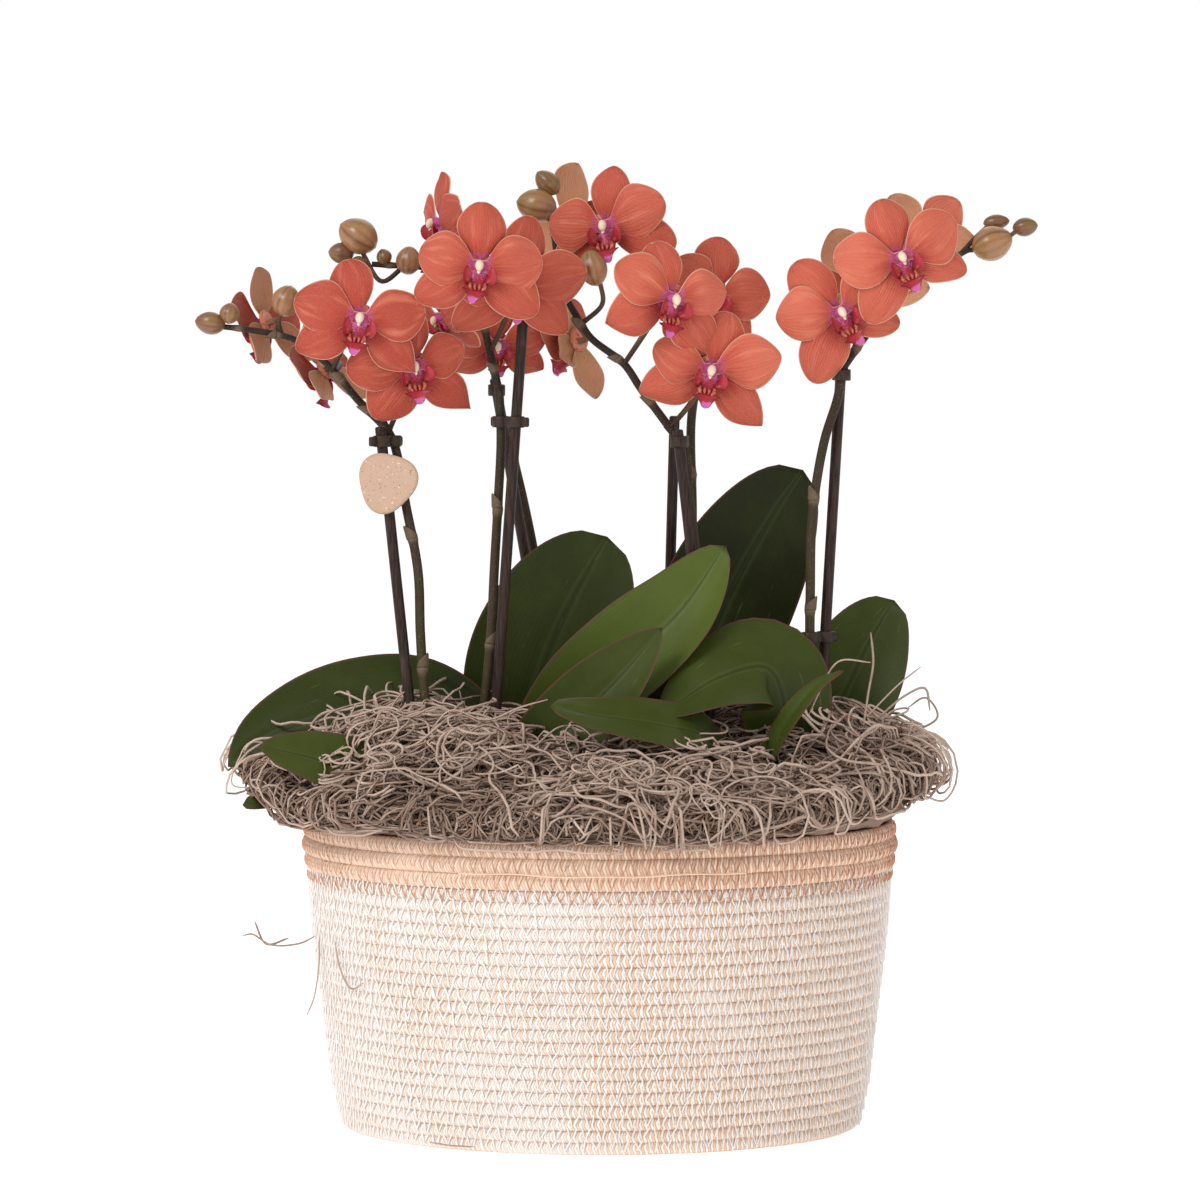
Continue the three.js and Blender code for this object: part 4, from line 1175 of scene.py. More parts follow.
spikes = {
    "far_left": {
        "stem": [(-60, -30, 114), (-66, -31, 145), (-71, -30, 176), (-73, -27, 203), (-74, -24, 228),
                 (-79, -20, 255), (-84, -15, 280), (-89, -13, 289)],
        "rachis": [(-88, -13, 287), (-99, -12, 298), (-109, -11, 310), (-124, -10, 322), (-145, -10, 326.5),
                   (-154, -10, 327.5)],
        "stalks": {
            "far_left_1": [(-109, -11, 310), (-102, -26, 324)],
            "far_left_2": [(-86, -14, 285), (-80, -20, 300)],
            "far_left_3": [(-132, -10, 323.5), (-131.5, -2, 329)],
            "far_left_4": [(-108, -11, 309), (-106.5, 2, 312)],
        },
        "budStalks": [[(-130, -10, 324), (-131, -11, 330), (-128, -12, 336)]],
        "buds": [
            ((-159, -10, 329), (-1, 0, 0.15), 12.8, 9.4, 0.25),
            ((-151, -11, 333), (0.2, 0, 1), 8.8, 8.4, 0.45),
            ((-128, -12, 338), (0.35, -0.2, 1), 13.6, 12, 0.65),
        ],
        "nodes": [0.42, 0.72],
    },
    "left": {
        "stem": [(-55, -13, 114), (-50, -16, 145), (-47, -19, 175), (-44.5, -20, 200), (-43, -20, 230),
                 (-41.5, -20, 256), (-40.3, -20, 282), (-41, -20, 302)],
        "rachis": [(-40.8, -20, 300), (-45.5, -14, 320), (-50, -8, 337), (-60, -8, 348), (-74, -9, 352),
                   (-84, -11, 352.5), (-93, -12, 353)],
        "stalks": {
            "left_1": [(-56, -8, 344), (-47, -24, 364), (-46.5, -38, 363)],
            "left_2": [(-44.8, -15, 317), (-38, -19, 332)],
            "left_3": [(-54, -8, 341), (-51, 3, 360)],
            "left_4": [(-47, -12, 326), (-52, -5, 331)],
        },
        "budStalks": [[(-80, -10, 352), (-89, -12, 346), (-97, -12, 358)]],
        "buds": [
            ((-98.6, -12, 364.5), (-0.75, 0, 0.5), 17.5, 14.6, 0.75),
            ((-105.5, -12, 357.5), (-1, 0, 0.1), 10.6, 8.8, 0.05),
            ((-98.5, -13, 352.8), (-1, 0, -0.2), 8, 7.2, 0.15),
            ((-78, -13, 354.5), (0.1, -0.2, 1), 12, 10.4, 0.7),
            ((-88, -12, 356), (-0.3, 0, 1), 6.8, 6.4, 0.1),
        ],
        "nodes": [0.45, 0.74],
    },
    "middle": {
        "stem": [(-9, 45, 114), (-14, 42, 160), (-22, 39, 200), (-27, 37, 231), (-32, 34, 256), (-38, 30, 281),
                 (-42.5, 28.5, 298), (-43.5, 28, 312)],
        "rachis": [(-43.4, 28, 308), (-42, 28, 325), (-38, 30, 338), (-34, 30, 346)],
        "stalks": {"middle_1": [(-42.5, 28, 322), (-42, 22, 323)]},
        "budStalks": [],
        "buds": [((-32.4, 30, 349.6), (0.2, 0, 1), 10.4, 8.8, 0.4)],
        "nodes": [0.5, 0.8],
    },
    "centre": {
        "stem": [(50, -16, 114), (48, -20, 145), (45.5, -22, 168), (41.5, -22, 210), (38.7, -22, 238),
                 (36.6, -22, 257), (33.8, -22, 279), (27.2, -22, 288)],
        "rachis": [(28, -22, 287), (16.7, -20, 302.3), (9.8, -17, 312.4), (-3.7, -12, 323), (-9, -9, 331),
                   (-14, -4, 340), (-17, 2, 352), (-19, 6, 365), (-21, 8, 375)],
        "stalks": {
            "centre_1": [(-19, 6, 362), (-10, 9, 368), (-1, 6, 369)],
            "centre_2": [(9.8, -17, 312.4), (18, -32, 325)],
            "centre_4": [(28, -22, 286), (37, -27, 297)],
            "centre_5": [(-19.5, 7, 366), (-17.5, 16, 371)],
            "centre_6": [(-9.5, -8.5, 331), (-10.5, 4, 330)],
        },
        "budStalks": [[(-7, -10, 329), (1, -15, 337), (0, -17, 346)]],
        "buds": [
            ((-21.5, 8, 386.4), (-0.7, 0, 0.7), 12.4, 9.2, 0.1),
            ((-26, 6, 377), (-1, 0, 0.2), 17, 14, 0.7),
            ((-2.8, -17, 351.5), (-0.25, 0, 1), 15.5, 11.6, 0.8),
        ],
        "nodes": [0.4, 0.68],
    },
    "centre_back": {
        "stem": [(18, 53, 114), (32, 50, 150), (38, 47, 200), (38.5, 45, 250), (38, 43, 288), (41, 38, 308)],
        "rachis": [(40.7, 38.5, 306), (46, 33, 326), (50, 30, 342), (52, 29, 352)],
        "stalks": {"centre_3": [(49, 31, 338), (48.5, 26, 341)]},
        "budStalks": [],
        "buds": [((53, 29, 356), (0.2, 0, 1), 10.4, 8.6, 0.3)],
        "nodes": [0.5, 0.78],
    },
    "right": {
        "stem": [(66, -16, 114), (78, -19, 145), (84.6, -20, 180), (85.6, -20, 215), (86, -20, 243),
                 (87.5, -20, 260), (91.5, -20, 282), (96.5, -20, 298), (99.5, -20, 313)],
        "rachis": [(99.2, -20, 311.5), (106, -17.5, 321), (114, -12, 331), (124.5, -6, 342.5), (137, -2, 351.4),
                   (151, 0, 359)],
        "stalks": {
            "right_1": [(104.5, -18, 319), (101, -20.5, 327)],
            "right_2": [(123, -7, 341.5), (126, -22, 354)],
            "right_3": [(113, -13, 329.5), (110, -3, 340)],
            "right_4": [(135, -2.5, 350.5), (133, 3, 358)],
        },
        "budStalks": [
            [(148, -0.5, 357.6), (154, 3, 364), (160, 4, 369.5)],
            [(150, 0, 358.6), (161, 1, 360), (171, 0, 367)],
        ],
        "buds": [
            ((160.5, -2, 361.5), (0.9, 0, 0.35), 17.5, 14.4, 0.85),
            ((162.5, 5, 370.2), (1, 0, 0.1), 11, 6.4, 0.2),
            ((174, 0, 368.2), (1, 0, 0.15), 10.6, 7.8, 0.1),
        ],
        "nodes": [0.5, 0.72],
    },
}
stemSizes = {"stem": 2.1, "top": 1.85, "rachis": 1.75, "stalk": 1.05, "stalkEnd": 1.35, "neck": 6}


# The flowers: where the petals meet, the way the flower faces, and for those seen from the front the direction
# (degrees, from the right and against the clock), length and width of the right petal, top sepal, left petal, low
# left sepal and low right sepal. The others take the usual shape, scaled to their span and turned by their roll.

usualShape = [(15, 27, 22), (92, 24.5, 18.5), (167, 27, 22), (214, 29, 17.5), (323, 29, 17.5)]
usualSpan = 55
flowers = {
    "far_left_1": {
        "at": (-96.5, -46, 331), "faces": (-0.05, -1, -0.05), "points": (0, 0, 0, 0.2, 0.9),
        "shape": [(9, 26.5, 22), (102, 24.5, 19.3), (162, 28, 21.8), (207, 29.5, 19), (313, 31, 18)],
    },
    "far_left_2": {
        "at": (-75.4, -34, 312), "faces": (0.15, -0.95, -0.2), "points": (0.2, 0, 0, 0, 1),
        "shape": [(20, 22, 19), (97, 24, 17), (181, 27.5, 21), (238, 27.5, 22), (323, 31, 16.5)],
    },
    "far_left_3": {"at": (-138, 12, 328), "faces": (-0.78, 0.42, -0.3), "span": 53},
    "far_left_4": {"at": (-114, 14, 308.5), "faces": (-0.7, 0.4, -0.55), "span": 48},
    "left_1": {
        "at": (-48.4, -54, 352), "faces": (0, -1, -0.05), "points": (0, 0, 0, 0, 0.1),
        "shape": [(3.5, 25.5, 24), (87, 26, 20), (163.5, 25, 22.5), (208, 29, 19), (317, 30, 21)],
    },
    "left_2": {
        "at": (-34.2, -34, 344), "faces": (0.12, -0.97, -0.1), "points": (0, 0, 0, 0, 0.2),
        "shape": [(11.5, 30, 23.4), (80, 29, 18), (175, 26, 21), (216, 30, 17), (319, 29, 18)],
    },
    "left_3": {"at": (-65.5, 14, 369.5), "faces": (-0.93, -0.35, -0.1), "span": 48},
    "left_4": {"at": (-64.5, -4, 331), "faces": (-0.8, -0.45, -0.4), "span": 42},
    "middle_1": {"at": (-42, 10, 320), "faces": (0.05, -0.93, -0.36), "span": 44},
    "centre_1": {
        "at": (2, -8, 368.2), "faces": (-0.2, -0.97, -0.05), "points": (0, 0.2, 0.1, 0, 0),
        "shape": [(25.5, 27, 22), (81, 25, 17), (177.5, 24, 22.4), (215, 26, 17), (343, 30, 19)],
    },
    "centre_2": {
        "at": (29, -54.6, 339), "faces": (0.3, -0.93, -0.2), "points": (0.1, 0, 0.2, 0.6, 0.4),
        "shape": [(7, 23.5, 21.5), (112, 24, 17.6), (153, 28, 21), (203, 28.5, 21), (308.5, 31, 19)],
    },
    "centre_3": {
        "at": (47, 14, 340), "faces": (0.1, -1, 0), "points": (0.2, 0, 0, 0, 0),
        "shape": [(0, 23.5, 22.5), (82, 24.5, 19), (142, 22, 20), (218, 26, 17), (300, 26, 17)],
    },
    "centre_4": {
        "at": (44.8, -42, 310.5), "faces": (0, -0.97, -0.2), "points": (0.3, 0, 0, 0.5, 0.5),
        "shape": [(9.6, 29, 23.4), (74, 24, 18), (160, 25, 19), (199, 31, 20), (309.5, 32, 17.5)],
    },
    "centre_5": {
        "at": (-14, 31, 369), "faces": (0.6, 0.8, 0.1),
        "shape": [(2, 19, 18), (113, 28.5, 20), (182, 25, 20), (228, 26, 17), (330, 26, 17)],
    },
    "centre_6": {
        "at": (-10, 21.5, 321), "faces": (-0.74, 0.65, -0.2),
        "shape": [(12, 23, 20), (52, 21, 16), (92, 18, 14), (268, 25, 18), (335, 18, 15)],
    },
    "right_1": {
        "at": (97.5, -30, 333.5), "faces": (0.15, -0.97, -0.1), "points": (0, 0, 0.3, 0, 0),
        "shape": [(50, 25, 21), (136, 27.5, 19.5), (187.5, 26.5, 23), (252, 31, 21), (347, 26, 16)],
    },
    "right_2": {
        "at": (121.5, -42, 355.5), "faces": (0.1, -0.98, -0.05), "points": (0, 0, 0, 0, 0),
        "shape": [(37, 27, 23.2), (111, 25, 18.6), (183, 27.5, 23.2), (246, 29.5, 19.5), (347, 28, 16)],
    },
    "right_3": {"at": (106, 10, 345.3), "faces": (-0.15, 0.97, 0.05), "span": 56, "roll": -30},
    "right_4": {"at": (131, 14, 362.9), "faces": (0.2, 0.95, 0), "span": 48, "roll": -30},
}


# A bud: a blunt egg with three seams where its outer petals meet.
def addBud(pile, at, axis, length, width, tone):
    axis = unit(axis)
    side = unit(np.cross(axis, (0.13, -1, 0.21)))
    other = np.cross(axis, side)
    steps, sides = 18, 36
    turns = turnsRound(sides)
    seamLine = np.exp(-(((np.mod(turns * 3 / fullTurn + 0.5, 1) - 0.5) / 0.07) ** 2))
    rings = []
    for i in range(1, steps):
        along = i / steps
        lobes = width / 2 * math.sin(math.pi * along**0.94) ** 0.58 * (1 - 0.05 * seamLine)
        middle = np.array(at) + axis * length * (along - 0.5)
        rings.append(middle + np.outer(lobes * np.cos(turns), side) + np.outer(lobes * np.sin(turns), other))
    points, faces = skinOver(rings, *[np.array(at) + axis * length * end for end in (-0.5, 0.5)])
    seams = np.maximum(seamLine * 0.75, 0.35 * np.cos(turns * 12) ** 2)
    pile.add(points, faces, tone=tone, seam=capped(0.3, np.tile(seams, steps - 1), 0.8))


# A small pointed scale leaf that clasps the stem.
def addScale(pile, line, i, radius, out, height, tone):
    centre, tangent = line[i], unit(line[i + 1] - line[i])
    out = unit(np.asarray(out) - tangent * (np.asarray(out) @ tangent))
    side = np.cross(tangent, out)
    steps, half = 9, 9
    rings = []
    for i in range(1, steps + 1):
        along = i / (steps + 1)
        spread = 2.1 * (1 - along**1.7)
        turns = np.linspace(-spread, spread, half)
        outer = radius + 0.55 + 0.5 * along
        loop = [outer * (math.cos(t) * out + math.sin(t) * side) for t in turns]
        loop += [(outer - 0.4) * (math.cos(t) * out + math.sin(t) * side) for t in turns[::-1]]
        rings.append(centre + tangent * height * along + np.array(loop))
    ends = centre + out * (radius + 0.2), centre + tangent * height + out * (radius + 1.0)
    pile.add(*skinOver(rings, *ends), tone=tone, ring=0.55)


def buildSpike(name, plan):
    lines, thick, tones, rings = [], [], [], []

    def addLine(points, count, radii, shades, nodes=()):
        line = smoothLine(points, count)
        along = np.linspace(0, 1, count)
        length = lineLength(line)
        swelling = sum((np.exp(-(((along - node) * length) / 1.6) ** 2) for node in nodes), np.zeros(count))
        lines.append(line)
        thick.append(np.interp(along, (0, 1), radii) * (1 + 0.22 * swelling))
        tones.append(np.interp(along, (0, 1), shades))
        rings.append(np.clip(swelling, 0, 1) * 0.8)
        return line

    scales, buds = Pile("tone", "ring"), Pile("tone", "seam")
    stem = addLine(plan["stem"], 110, (stemSizes["stem"], stemSizes["top"]), (0, 0.7), plan["nodes"])
    for k, node in enumerate(plan["nodes"]):
        addScale(scales, stem, round(node * 109), stemSizes["stem"] * 0.95, (-1 if k % 2 else 1, -0.55, 0), 6.5, 0.35)
    nodes = np.linspace(0.12, 0.92, 5 if len(plan["rachis"]) > 5 else 3)
    rachis = addLine(plan["rachis"], 80, (stemSizes["rachis"], 1.15), (0.8, 1.0), nodes)
    for k, node in enumerate(nodes[:-1]):
        out = (0.4 if k % 2 else -0.6, -0.3, -0.7)
        addScale(scales, rachis, round(node * 79), stemSizes["rachis"] * 0.85, out, 4.6, 1.2)
    for flowerName, points in plan["stalks"].items():
        at, faces = np.array(flowers[flowerName]["at"]), unit(flowers[flowerName]["faces"])
        route = [*points, at - faces * stemSizes["neck"], at - faces * 0.6]
        addLine(route, 34, (stemSizes["stalk"], stemSizes["stalkEnd"]), (1.1, 2))
    for points in plan["budStalks"]:
        addLine(points, 20, (stemSizes["stalk"], 0.95), (1.1, 1.6))
    for bud in plan["buds"]:
        addBud(buds, *bud)
    source = linesObject(name + "Lines", lines, thick, tone=tones, ring=rings)
    finishPiece(grow(source, strandTree, name + "_stem", Sides=14, Material=stemSkin), "spike", name)
    finishPiece(scales.build(name + "_scales", [stemSkin]), "spike", name)
    finishPiece(buds.build(name + "_buds", [budSkin]), "spike", name)


for spikeName, spikePlan in spikes.items():
    buildSpike("spike_" + spikeName, spikePlan)
print("spikes are grown")


# Sticks, clips and the tag

sticks = {
    "far_left": [(-64, -40, 50), (-89.5, -19, 287)],
    "left": [(-50.8, -26, 50), (-31.2, -25.6, 331)],
    "middle": [(0, 48, 50), (-43.5, 19.6, 306)],
    "centre": [(58.3, -28, 50), (31.5, -28, 286)],
    "centre_back": [(24.5, 44, 50), (31, 40, 290)],
    "right": [(83.2, -14, 50), (98.3, -14, 311)],
}
stickSizes = {"radius": 2.2, "sides": 16}
# for each clip its spike and its height
clips = {
    "far_left": ("far_left", 281), "left": ("left", 289), "middle": ("middle", 301), "centre": ("centre", 281),
    "right_1": ("right", 201), "right_2": ("right", 308),
}
clipSizes = {"height": 4.6, "wall": 1.1, "clearance": 0.25, "tab": 4.2, "tabThickness": 1.9}
tagSizes = {"width": 23.6, "height": 24.6, "thickness": 1.5, "at": 264.5, "turn": -0.35, "edge": 0.35, "corner": 0.61}


def buildStick(name, ends):
    radius = stickSizes["radius"]
    line = smoothLine(ends, 60)
    radii = np.full(60, radius)
    axis = unit(np.array(ends[1]) - np.array(ends[0]))
    # the top is rounded over a millimetre
    for back, share in ((0.9, 1.0), (0.4, 0.93), (0.1, 0.75)):
        line = np.vstack([line[:-1], line[-1] - axis * back, line[-1]])
        radii = np.append(radii[:-1], [radius * share, radius * 0.5])
    source = linesObject(name + "Line", [line], [radii])
    stick = grow(source, strandTree, name + "_rod", Sides=stickSizes["sides"], Material=stickSkin)
    finishPiece(stick, "stick", name)


def pointAtHeight(points, height):
    points = np.asarray(points, dtype=float)
    upper = int(np.argmax(points[:, 2] >= height))
    low, high = points[upper - 1], points[upper]
    return low + (high - low) * (height - low[2]) / (high[2] - low[2])


# A rectangle with cut corners.
def softRectangle(left, right, low, high, cut):
    return [
        (left, low + cut), (left + cut, low), (right - cut, low), (right, low + cut),
        (right, high - cut), (right - cut, high), (left + cut, high), (left, high - cut),
    ]


# A closed ring band round a rod.
def addBand(pile, centre, radius):
    half = clipSizes["height"] / 2
    section = softRectangle(radius, radius + clipSizes["wall"], -half, half, 0.3)
    steps, sides = 28, len(section)
    points, faces = [], []
    for i in range(steps):
        turn = fullTurn * i / steps
        points += [(centre[0] + r * math.cos(turn), centre[1] + r * math.sin(turn), centre[2] + z) for r, z in section]
        here, there = i * sides, (i + 1) % steps * sides
        faces += [(here + j, there + j, there + (j + 1) % sides, here + (j + 1) % sides) for j in range(sides)]
    pile.add(points, faces)


# A block with softened edges between two points.
def addBlock(pile, start, end, width, height):
    axis = unit(end - start)
    side = unit(np.cross((0, 0, 1), axis))
    up = np.cross(axis, side)
    soft = min(width, height) * 0.2
    flat = np.array([a * side + b * up for a, b in softRectangle(-width / 2, width / 2, -height / 2, height / 2, soft)])
    rings = [start + flat * 0.8, start + axis * soft + flat, end - axis * soft + flat, end + flat * 0.8]
    pile.add(*skinOver(rings, start, end))


def buildClip(name, spike, level):
    stem = pointAtHeight(smoothLine(spikes[spike]["stem"], 200), level)
    stick = pointAtHeight(sticks[spike], level)
    stemRing = stemSizes["stem"] + clipSizes["clearance"]
    stickRing = stickSizes["radius"] + clipSizes["clearance"]
    along = unit((stick - stem) * (1, 1, 0))
    tall, thick, tab = clipSizes["height"], clipSizes["tabThickness"], clipSizes["tab"]
    pile = Pile("tone")
    addBand(pile, stem, stemRing)
    addBand(pile, stick, stickRing)
    # a bridge between the rings and a finger tab beyond each
    addBlock(pile, stem + along * (stemRing + 0.2), stick - along * (stickRing + 0.2), thick * 1.6, tall * 0.96)
    addBlock(pile, stem - along * (stemRing + 0.4), stem - along * (stemRing + tab * 0.6), thick, tall * 0.85)
    addBlock(pile, stick + along * (stickRing + 0.4), stick + along * (stickRing + tab), thick, tall * 0.85)
    finishPiece(pile.build(name + "_jaws", [clipSkin]), "clip", name)


def buildTag():
    ends = sticks["far_left"]
    behind = pointAtHeight(ends, tagSizes["at"])
    lean = math.atan2(ends[1][1] - ends[0][1], ends[1][2] - ends[0][2])
    sides = 72
    turns = turnsRound(sides)
    bulge = 1 + 0.085 * np.cos(3 * (turns - tagSizes["corner"]))
    x = tagSizes["width"] / 2 * np.cos(turns) * bulge
    y = tagSizes["height"] / 2 * np.sin(turns) * bulge
    edge, thick = tagSizes["edge"], tagSizes["thickness"]
    # how wide each ring is, and how worn
    lower = [(0.5, 0), (0.86, 0), (1 - edge / 12, 0), (1, edge)]
    section = lower + [(share, thick - height) for share, height in lower[::-1]]
    rings = [np.column_stack([x * share, y * share, np.full(sides, height)]) for share, height in section]
    points, faces = skinOver(rings, (0, 0, 0), (0, 0, thick))
    place = (
        Matrix.Translation((behind[0] + 0.6, behind[1] - stickSizes["radius"] - 0.6, tagSizes["at"]))
        @ Matrix.Rotation(math.pi / 2 - lean, 4, "X")
        @ Matrix.Rotation(tagSizes["turn"], 4, "Z")
    )
    worn = capped(0, np.repeat([0, 0, 0.35, 1, 1, 0.35, 0, 0], sides), 0)
    tag = newObject("tag_card", [place @ Vector(p) for p in points], faces, [tagSkin], {"ring": worn})
    finishPiece(tag, "tag", "tag")


for stickName, stickEnds in sticks.items():
    buildStick("stick_" + stickName, stickEnds)
for clipName, clipPlan in clips.items():
    buildClip("clip_" + clipName, *clipPlan)
buildTag()
print("sticks, clips and tag are in place")


# Flowers

tepalSkinSteps = {"along": 24, "around": 26, "thick": 0.7, "thin": 0.34}
# the column: how far forward, the height of its middle, half its width and half its height
columnShape = [
    (-1.7, 0.8, 5.4, 5.4), (-1.2, 0.8, 5.1, 5.1), (-0.5, 0.5, 2.9, 2.5), (0.6, 0.5, 2.5, 1.8), (2.2, 0.7, 2.3, 1.9),
    (3.6, 0.9, 1.75, 2.1), (4.8, 0.9, 1.7, 2.2), (5.8, 0.7, 1.6, 2.1), (6.5, 0.4, 1.2, 1.6), (6.9, 0.2, 0.6, 0.9),
]


# Points turned round the flower's own axis.
def turned(points, angle):
    x, y, z = points.T
    return np.column_stack([x * math.cos(angle) - y * math.sin(angle), x * math.sin(angle) + y * math.cos(angle), z])


# One petal or sepal: a thin closed sheet from the middle of the flower outwards.
def addTepal(pile, direction, length, width, kind, point, tone, rng, base):
    count, thick, thin = tepalSkinSteps["along"], tepalSkinSteps["thick"], tepalSkinSteps["thin"]
    petal = kind < 0.2
    inset = 1.0
    across, face = sheetSection(tepalSkinSteps["around"], 0.6)
    widest = 1.14 if petal else 1.26 if kind < 0.6 else 1.02
    lopsided = rng.uniform(-0.16, 0.16) if petal else rng.uniform(-0.08, 0.08)
    blunt = (0.95, 0.52 + 0.45 * point) if petal else (0.85, 0.5 + 0.6 * point)
    wave = rng.uniform(0, fullTurn, 3)
    bend = rng.uniform(1.4, 3.0) if petal else rng.uniform(2.2, 4.2)
    cup = rng.uniform(0.08, 0.13) if petal else rng.uniform(0.1, 0.18)
    twist = rng.normal(0, 0.05)
    skew = rng.normal(0, 0.06) if petal else rng.normal(0, 0.03)
    # closer together at both ends, where the outline turns
    alongs = 0.5 - 0.5 * np.cos(math.pi * np.arange(1, count + 1) / (count + 1))
    rings, rim = [], []
    for along in alongs:
        power = blunt[0] + (blunt[1] - blunt[0]) * along
        half = width / 2 * np.sin(np.pi * along ** (widest + lopsided * across)) ** power
        # the foot is broad enough to hide what is behind the middle
        foot = 2.6 * max(0.0, 1 - (along * length / 8) ** 2)
        half = np.maximum(half * (1 + 0.03 * np.sin(9 * along + wave[2] + 2 * across)), max(foot, 0.05))
        reach = np.full(len(across), inset + along * (length - inset))
        side = across * half + skew * length * math.sin(math.pi * along) * 0.5
        crown = 1.7 * math.sin(math.pi * min(1, along * 1.15)) - bend * along**2
        height = base + crown - cup * half * across**2 * 2
        height = height + 0.35 * math.sin(7 * along + wave[0]) * across * half / 8
        height = height + 0.25 * np.sin(5 * across + wave[1] + 4 * along) * along
        height = height - 0.5 * np.exp(-((side / 1.1) ** 2)) * (1 - along) + twist * side
        rings.append(np.column_stack([reach, side, height + face * (thick + (thin - thick) * along) / 2]))
        rim.append(np.minimum((1 - np.abs(across)) * half, (1 - along) * length))
    points, faces = skinOver(rings, (inset, 0, base), (length, 0, base - bend + 0.02))
    back = capped(0, np.tile(np.clip(-face * 4, 0, 1), count), 0.5)
    values = {"kind": kind, "back": back, "rim": capped(2, rim, 0), "tone": tone}
    pile.add(turned(points, math.radians(direction)), faces, 0, sheetUv(across, alongs), **values)


def addColumn(pile):
    sides = 18
    turns = turnsRound(sides)

    def loop(forward, middle, wide, tall):
        return np.column_stack([wide * np.cos(turns), middle + tall * np.sin(turns), np.full(sides, forward)])

    forward = np.repeat([row[0] for row in columnShape], sides)
    cream = np.clip((forward - 3.9) / 1.3 + 0.35 * np.tile(np.sin(turns), len(columnShape)), 0, 1) * (forward > 0)
    magenta = np.clip(forward + 1, 0, 1) * (1 - np.clip((forward - 3.0) / 1.6, 0, 1))
    coral = np.where(forward < -1, 2.5, 0.0)
    values = {"cream": capped(0, cream, 1), "magenta": capped(0, magenta, 0), "orange": capped(2.5, coral, 0)}
    pile.add(*skinOver([loop(*row) for row in columnShape], (0, 0.8, -2.0), (0, 0.1, 7.0)), 1, **values)
    # the beak under the cap
    beak = [loop(z, y, r, r * 0.8) for r, y, z in ((0.7, -1.2, 4.6), (0.75, -1.6, 5.3), (0.5, -2.1, 5.9))]
    pile.add(*skinOver(beak, (0, -1.0, 4.2), (0, -2.6, 6.2)), 1, cream=0.75, magenta=0.2)


# Places along a spine, the way it runs there, and its width there.
def spinePlaces(spine, widths, steps):
    line = smoothLine(spine, steps + 2)
    wide = np.interp(np.linspace(0, 1, steps + 2), np.linspace(0, 1, len(widths)), widths)
    return line, [(line[i], unit(line[i + 1] - line[i - 1]), wide[i]) for i in range(1, steps + 1)]


# A curved sheet of the lip, from its spine, its half widths and the way its sides go.
def addLipSheet(pile, spine, halves, sideways, cup, thick, steps, **paint):
    line, places = spinePlaces(spine, halves, steps)
    across, face = sheetSection(16, 0.7)
    rings = []
    for place, tangent, half in places:
        side = unit(np.asarray(sideways) - tangent * (np.asarray(sideways) @ tangent))
        rise = cup * half * across**2 + face * thick / 2
        rings.append(place + np.outer(across * half, side) + np.outer(rise, np.cross(side, tangent)))
    along = capped(0, np.repeat(np.arange(1, steps + 1) / (steps + 1), len(across)), 1)
    edge = capped(0, np.tile(np.abs(across), steps), 1)
    values = {label: rule(along, edge) for label, rule in paint.items()}
    pile.add(*skinOver(rings, line[0], line[-1]), 1, **values)


def addRidge(pile, spine, radii, orange, dark):
    line, places = spinePlaces(spine, radii, 9)
    turns = turnsRound(8)
    rings = []
    for place, tangent, radius in places:
        side = unit(np.cross(tangent, (0.1, 0.2, 1)))
        other = np.cross(tangent, side)
        rings.append(place + radius * (np.outer(np.cos(turns), side) + np.outer(np.sin(turns), other)))
    pile.add(*skinOver(rings, line[0], line[-1]), 1, orange=orange, dark=dark)


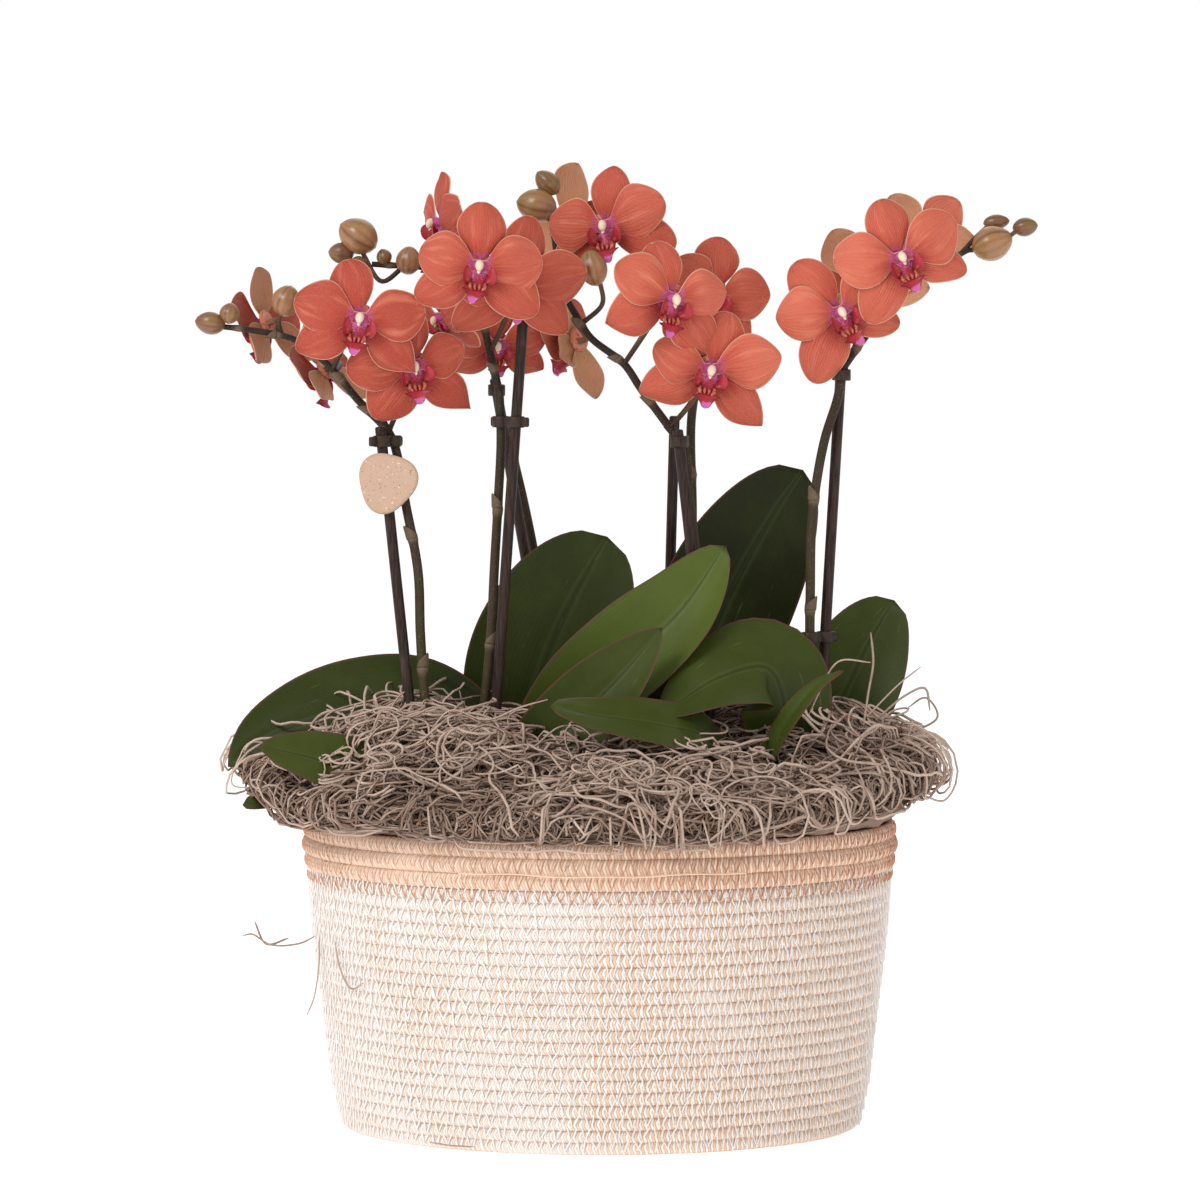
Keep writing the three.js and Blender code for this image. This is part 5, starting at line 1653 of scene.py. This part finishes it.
def addLip(pile, rng):
    tilt = rng.normal(0, 0.35)
    # side lobes stand beside the column like cupped hands
    for hand in (-1, 1):
        addLipSheet(
            pile, [(hand * 2.6, -6.4, 1.8), (hand * 4.4, -5.2, 4.4), (hand * 5.2, -2.4, 5.6), (hand * 4.7, 0.6, 5.2)],
            [0.9, 2.1, 2.7, 2.3, 0.5], (0.72, 0, hand * 0.7), -0.35 * hand, 0.55, 9,
            dark=lambda along, edge: 0.75 * np.clip(1 - along * 1.6, 0, 1),
            orange=lambda along, edge: np.where((edge < 0.35) & (along < 0.5), 0.45, 0.0),
        )
    # throat between the lobes and under the column
    addLipSheet(
        pile, [(0, 1.6, 0.6), (0, -2.6, 1.0), (0, -6.2, 2.2), (0, -9.4, 4.2)],
        [2.6, 3.4, 4.0, 3.6], (1, 0, 0), 0.3, 0.6, 9,
        magenta=lambda along, edge: np.clip(1.05 - along * 1.1, 0, 1) * 0.8,
        dark=lambda along, edge: np.clip(edge - 0.5, 0, 1) * 1.2,
    )
    # callus: thick ridges where the middle lobe starts
    for hand in (-1, 1):
        outer = [(hand * 2.9, -6.2, 3.6), (hand * 3.0, -7.8, 4.9), (hand * 1.9, -9.4, 5.7)]
        inner = [(hand * 0.8, -6.6, 4.0), (hand * 0.95, -8.0, 5.2), (hand * 0.7, -9.2, 5.7)]
        addRidge(pile, outer, [0.45, 0.85, 0.4], 0.62, 0.2)
        addRidge(pile, inner, [0.4, 0.65, 0.35], 0.5, 0.25)
    # middle lobe: an anchor with two wings and a bright tip
    addLipSheet(
        pile, [(0, -8.6, 3.6), (tilt, -10.6, 6.2), (tilt * 2, -12.4, 7.6), (tilt * 3, -14.6, 7.4)],
        [3.4, 3.4, 3.0, 6.0, 3.6, 2.4, 1.7, 0.6], (1, 0, 0), -0.3, 0.6, 17,
        magenta=lambda along, edge: np.clip((along - 0.58) * 6, 0, 1) * np.clip(2.2 - edge * 2, 0, 1),
        cream=lambda along, edge: np.clip((along - 0.9) * 9, 0, 1) * 0.9,
        dark=lambda along, edge: np.clip((edge - 0.45) * 2, 0, 1),
    )


def flowerPlace(plan):
    forward = unit(plan["faces"])
    right = unit(np.cross((0, 0, 1), forward))
    axes = np.array([right, np.cross(forward, right), forward])
    return lambda points: np.array(plan["at"], dtype=float) + points @ axes


def buildFlower(name, plan, seed):
    rng = np.random.default_rng(seed)
    scale = plan.get("span", usualSpan) / usualSpan
    roll = plan.get("roll", 0)
    shape = plan.get("shape", [(turn + roll, length * scale, width * scale) for turn, length, width in usualShape])
    pointed = plan.get("points", (0.1, 0.1, 0.1, 0.3, 0.3))
    # painted shade: the flowers on the left are darker and those on the right paler, after how the light falls across
    # the arrangement
    sideShadeAndTint = np.interp(plan["at"][0], (-100, -40, 120), (0.15, 0.55, 0.95))
    kinds = (0.0, 0.5, 0.0, 1.0, 1.0)
    bases = (0.9, -0.9, 0.8, -1.4, -0.8)
    pile = Pile("kind", "back", "rim", "tone", "magenta", "cream", "orange", "dark")
    for (turn, length, width), point, kind, base in zip(shape, pointed, kinds, bases):
        shade = np.clip(sideShadeAndTint + rng.normal(0, 0.1), 0, 1)
        addTepal(pile, turn + rng.normal(0, 1.5), length, width, kind, point, shade, rng, base)
    addColumn(pile)
    addLip(pile, rng)
    # the lip and column turn with the lower sepals
    axis = math.radians((shape[3][0] + shape[4][0]) / 2 - 270) * 0.8
    for block in range(len(shape), len(pile.points)):
        pile.points[block] = turned(pile.points[block], axis) * min(1.0, scale * 1.04)
    finishPiece(pile.build(name + "_bloom", [tepalSkin, lipSkin], flowerPlace(plan)), "petal", name)


for index, (flowerName, flowerPlan) in enumerate(flowers.items()):
    buildFlower("flower_" + flowerName, flowerPlan, 70 + index)
print("flowers are open")


# What the moss hides keeps its own shape and gets its finish here.
for nodeName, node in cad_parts.items():
    for start, material in hiddenSkins.items():
        if nodeName.startswith(start):
            node.data.materials.clear()
            node.data.materials.append(material)
print("hidden pieces are finished")
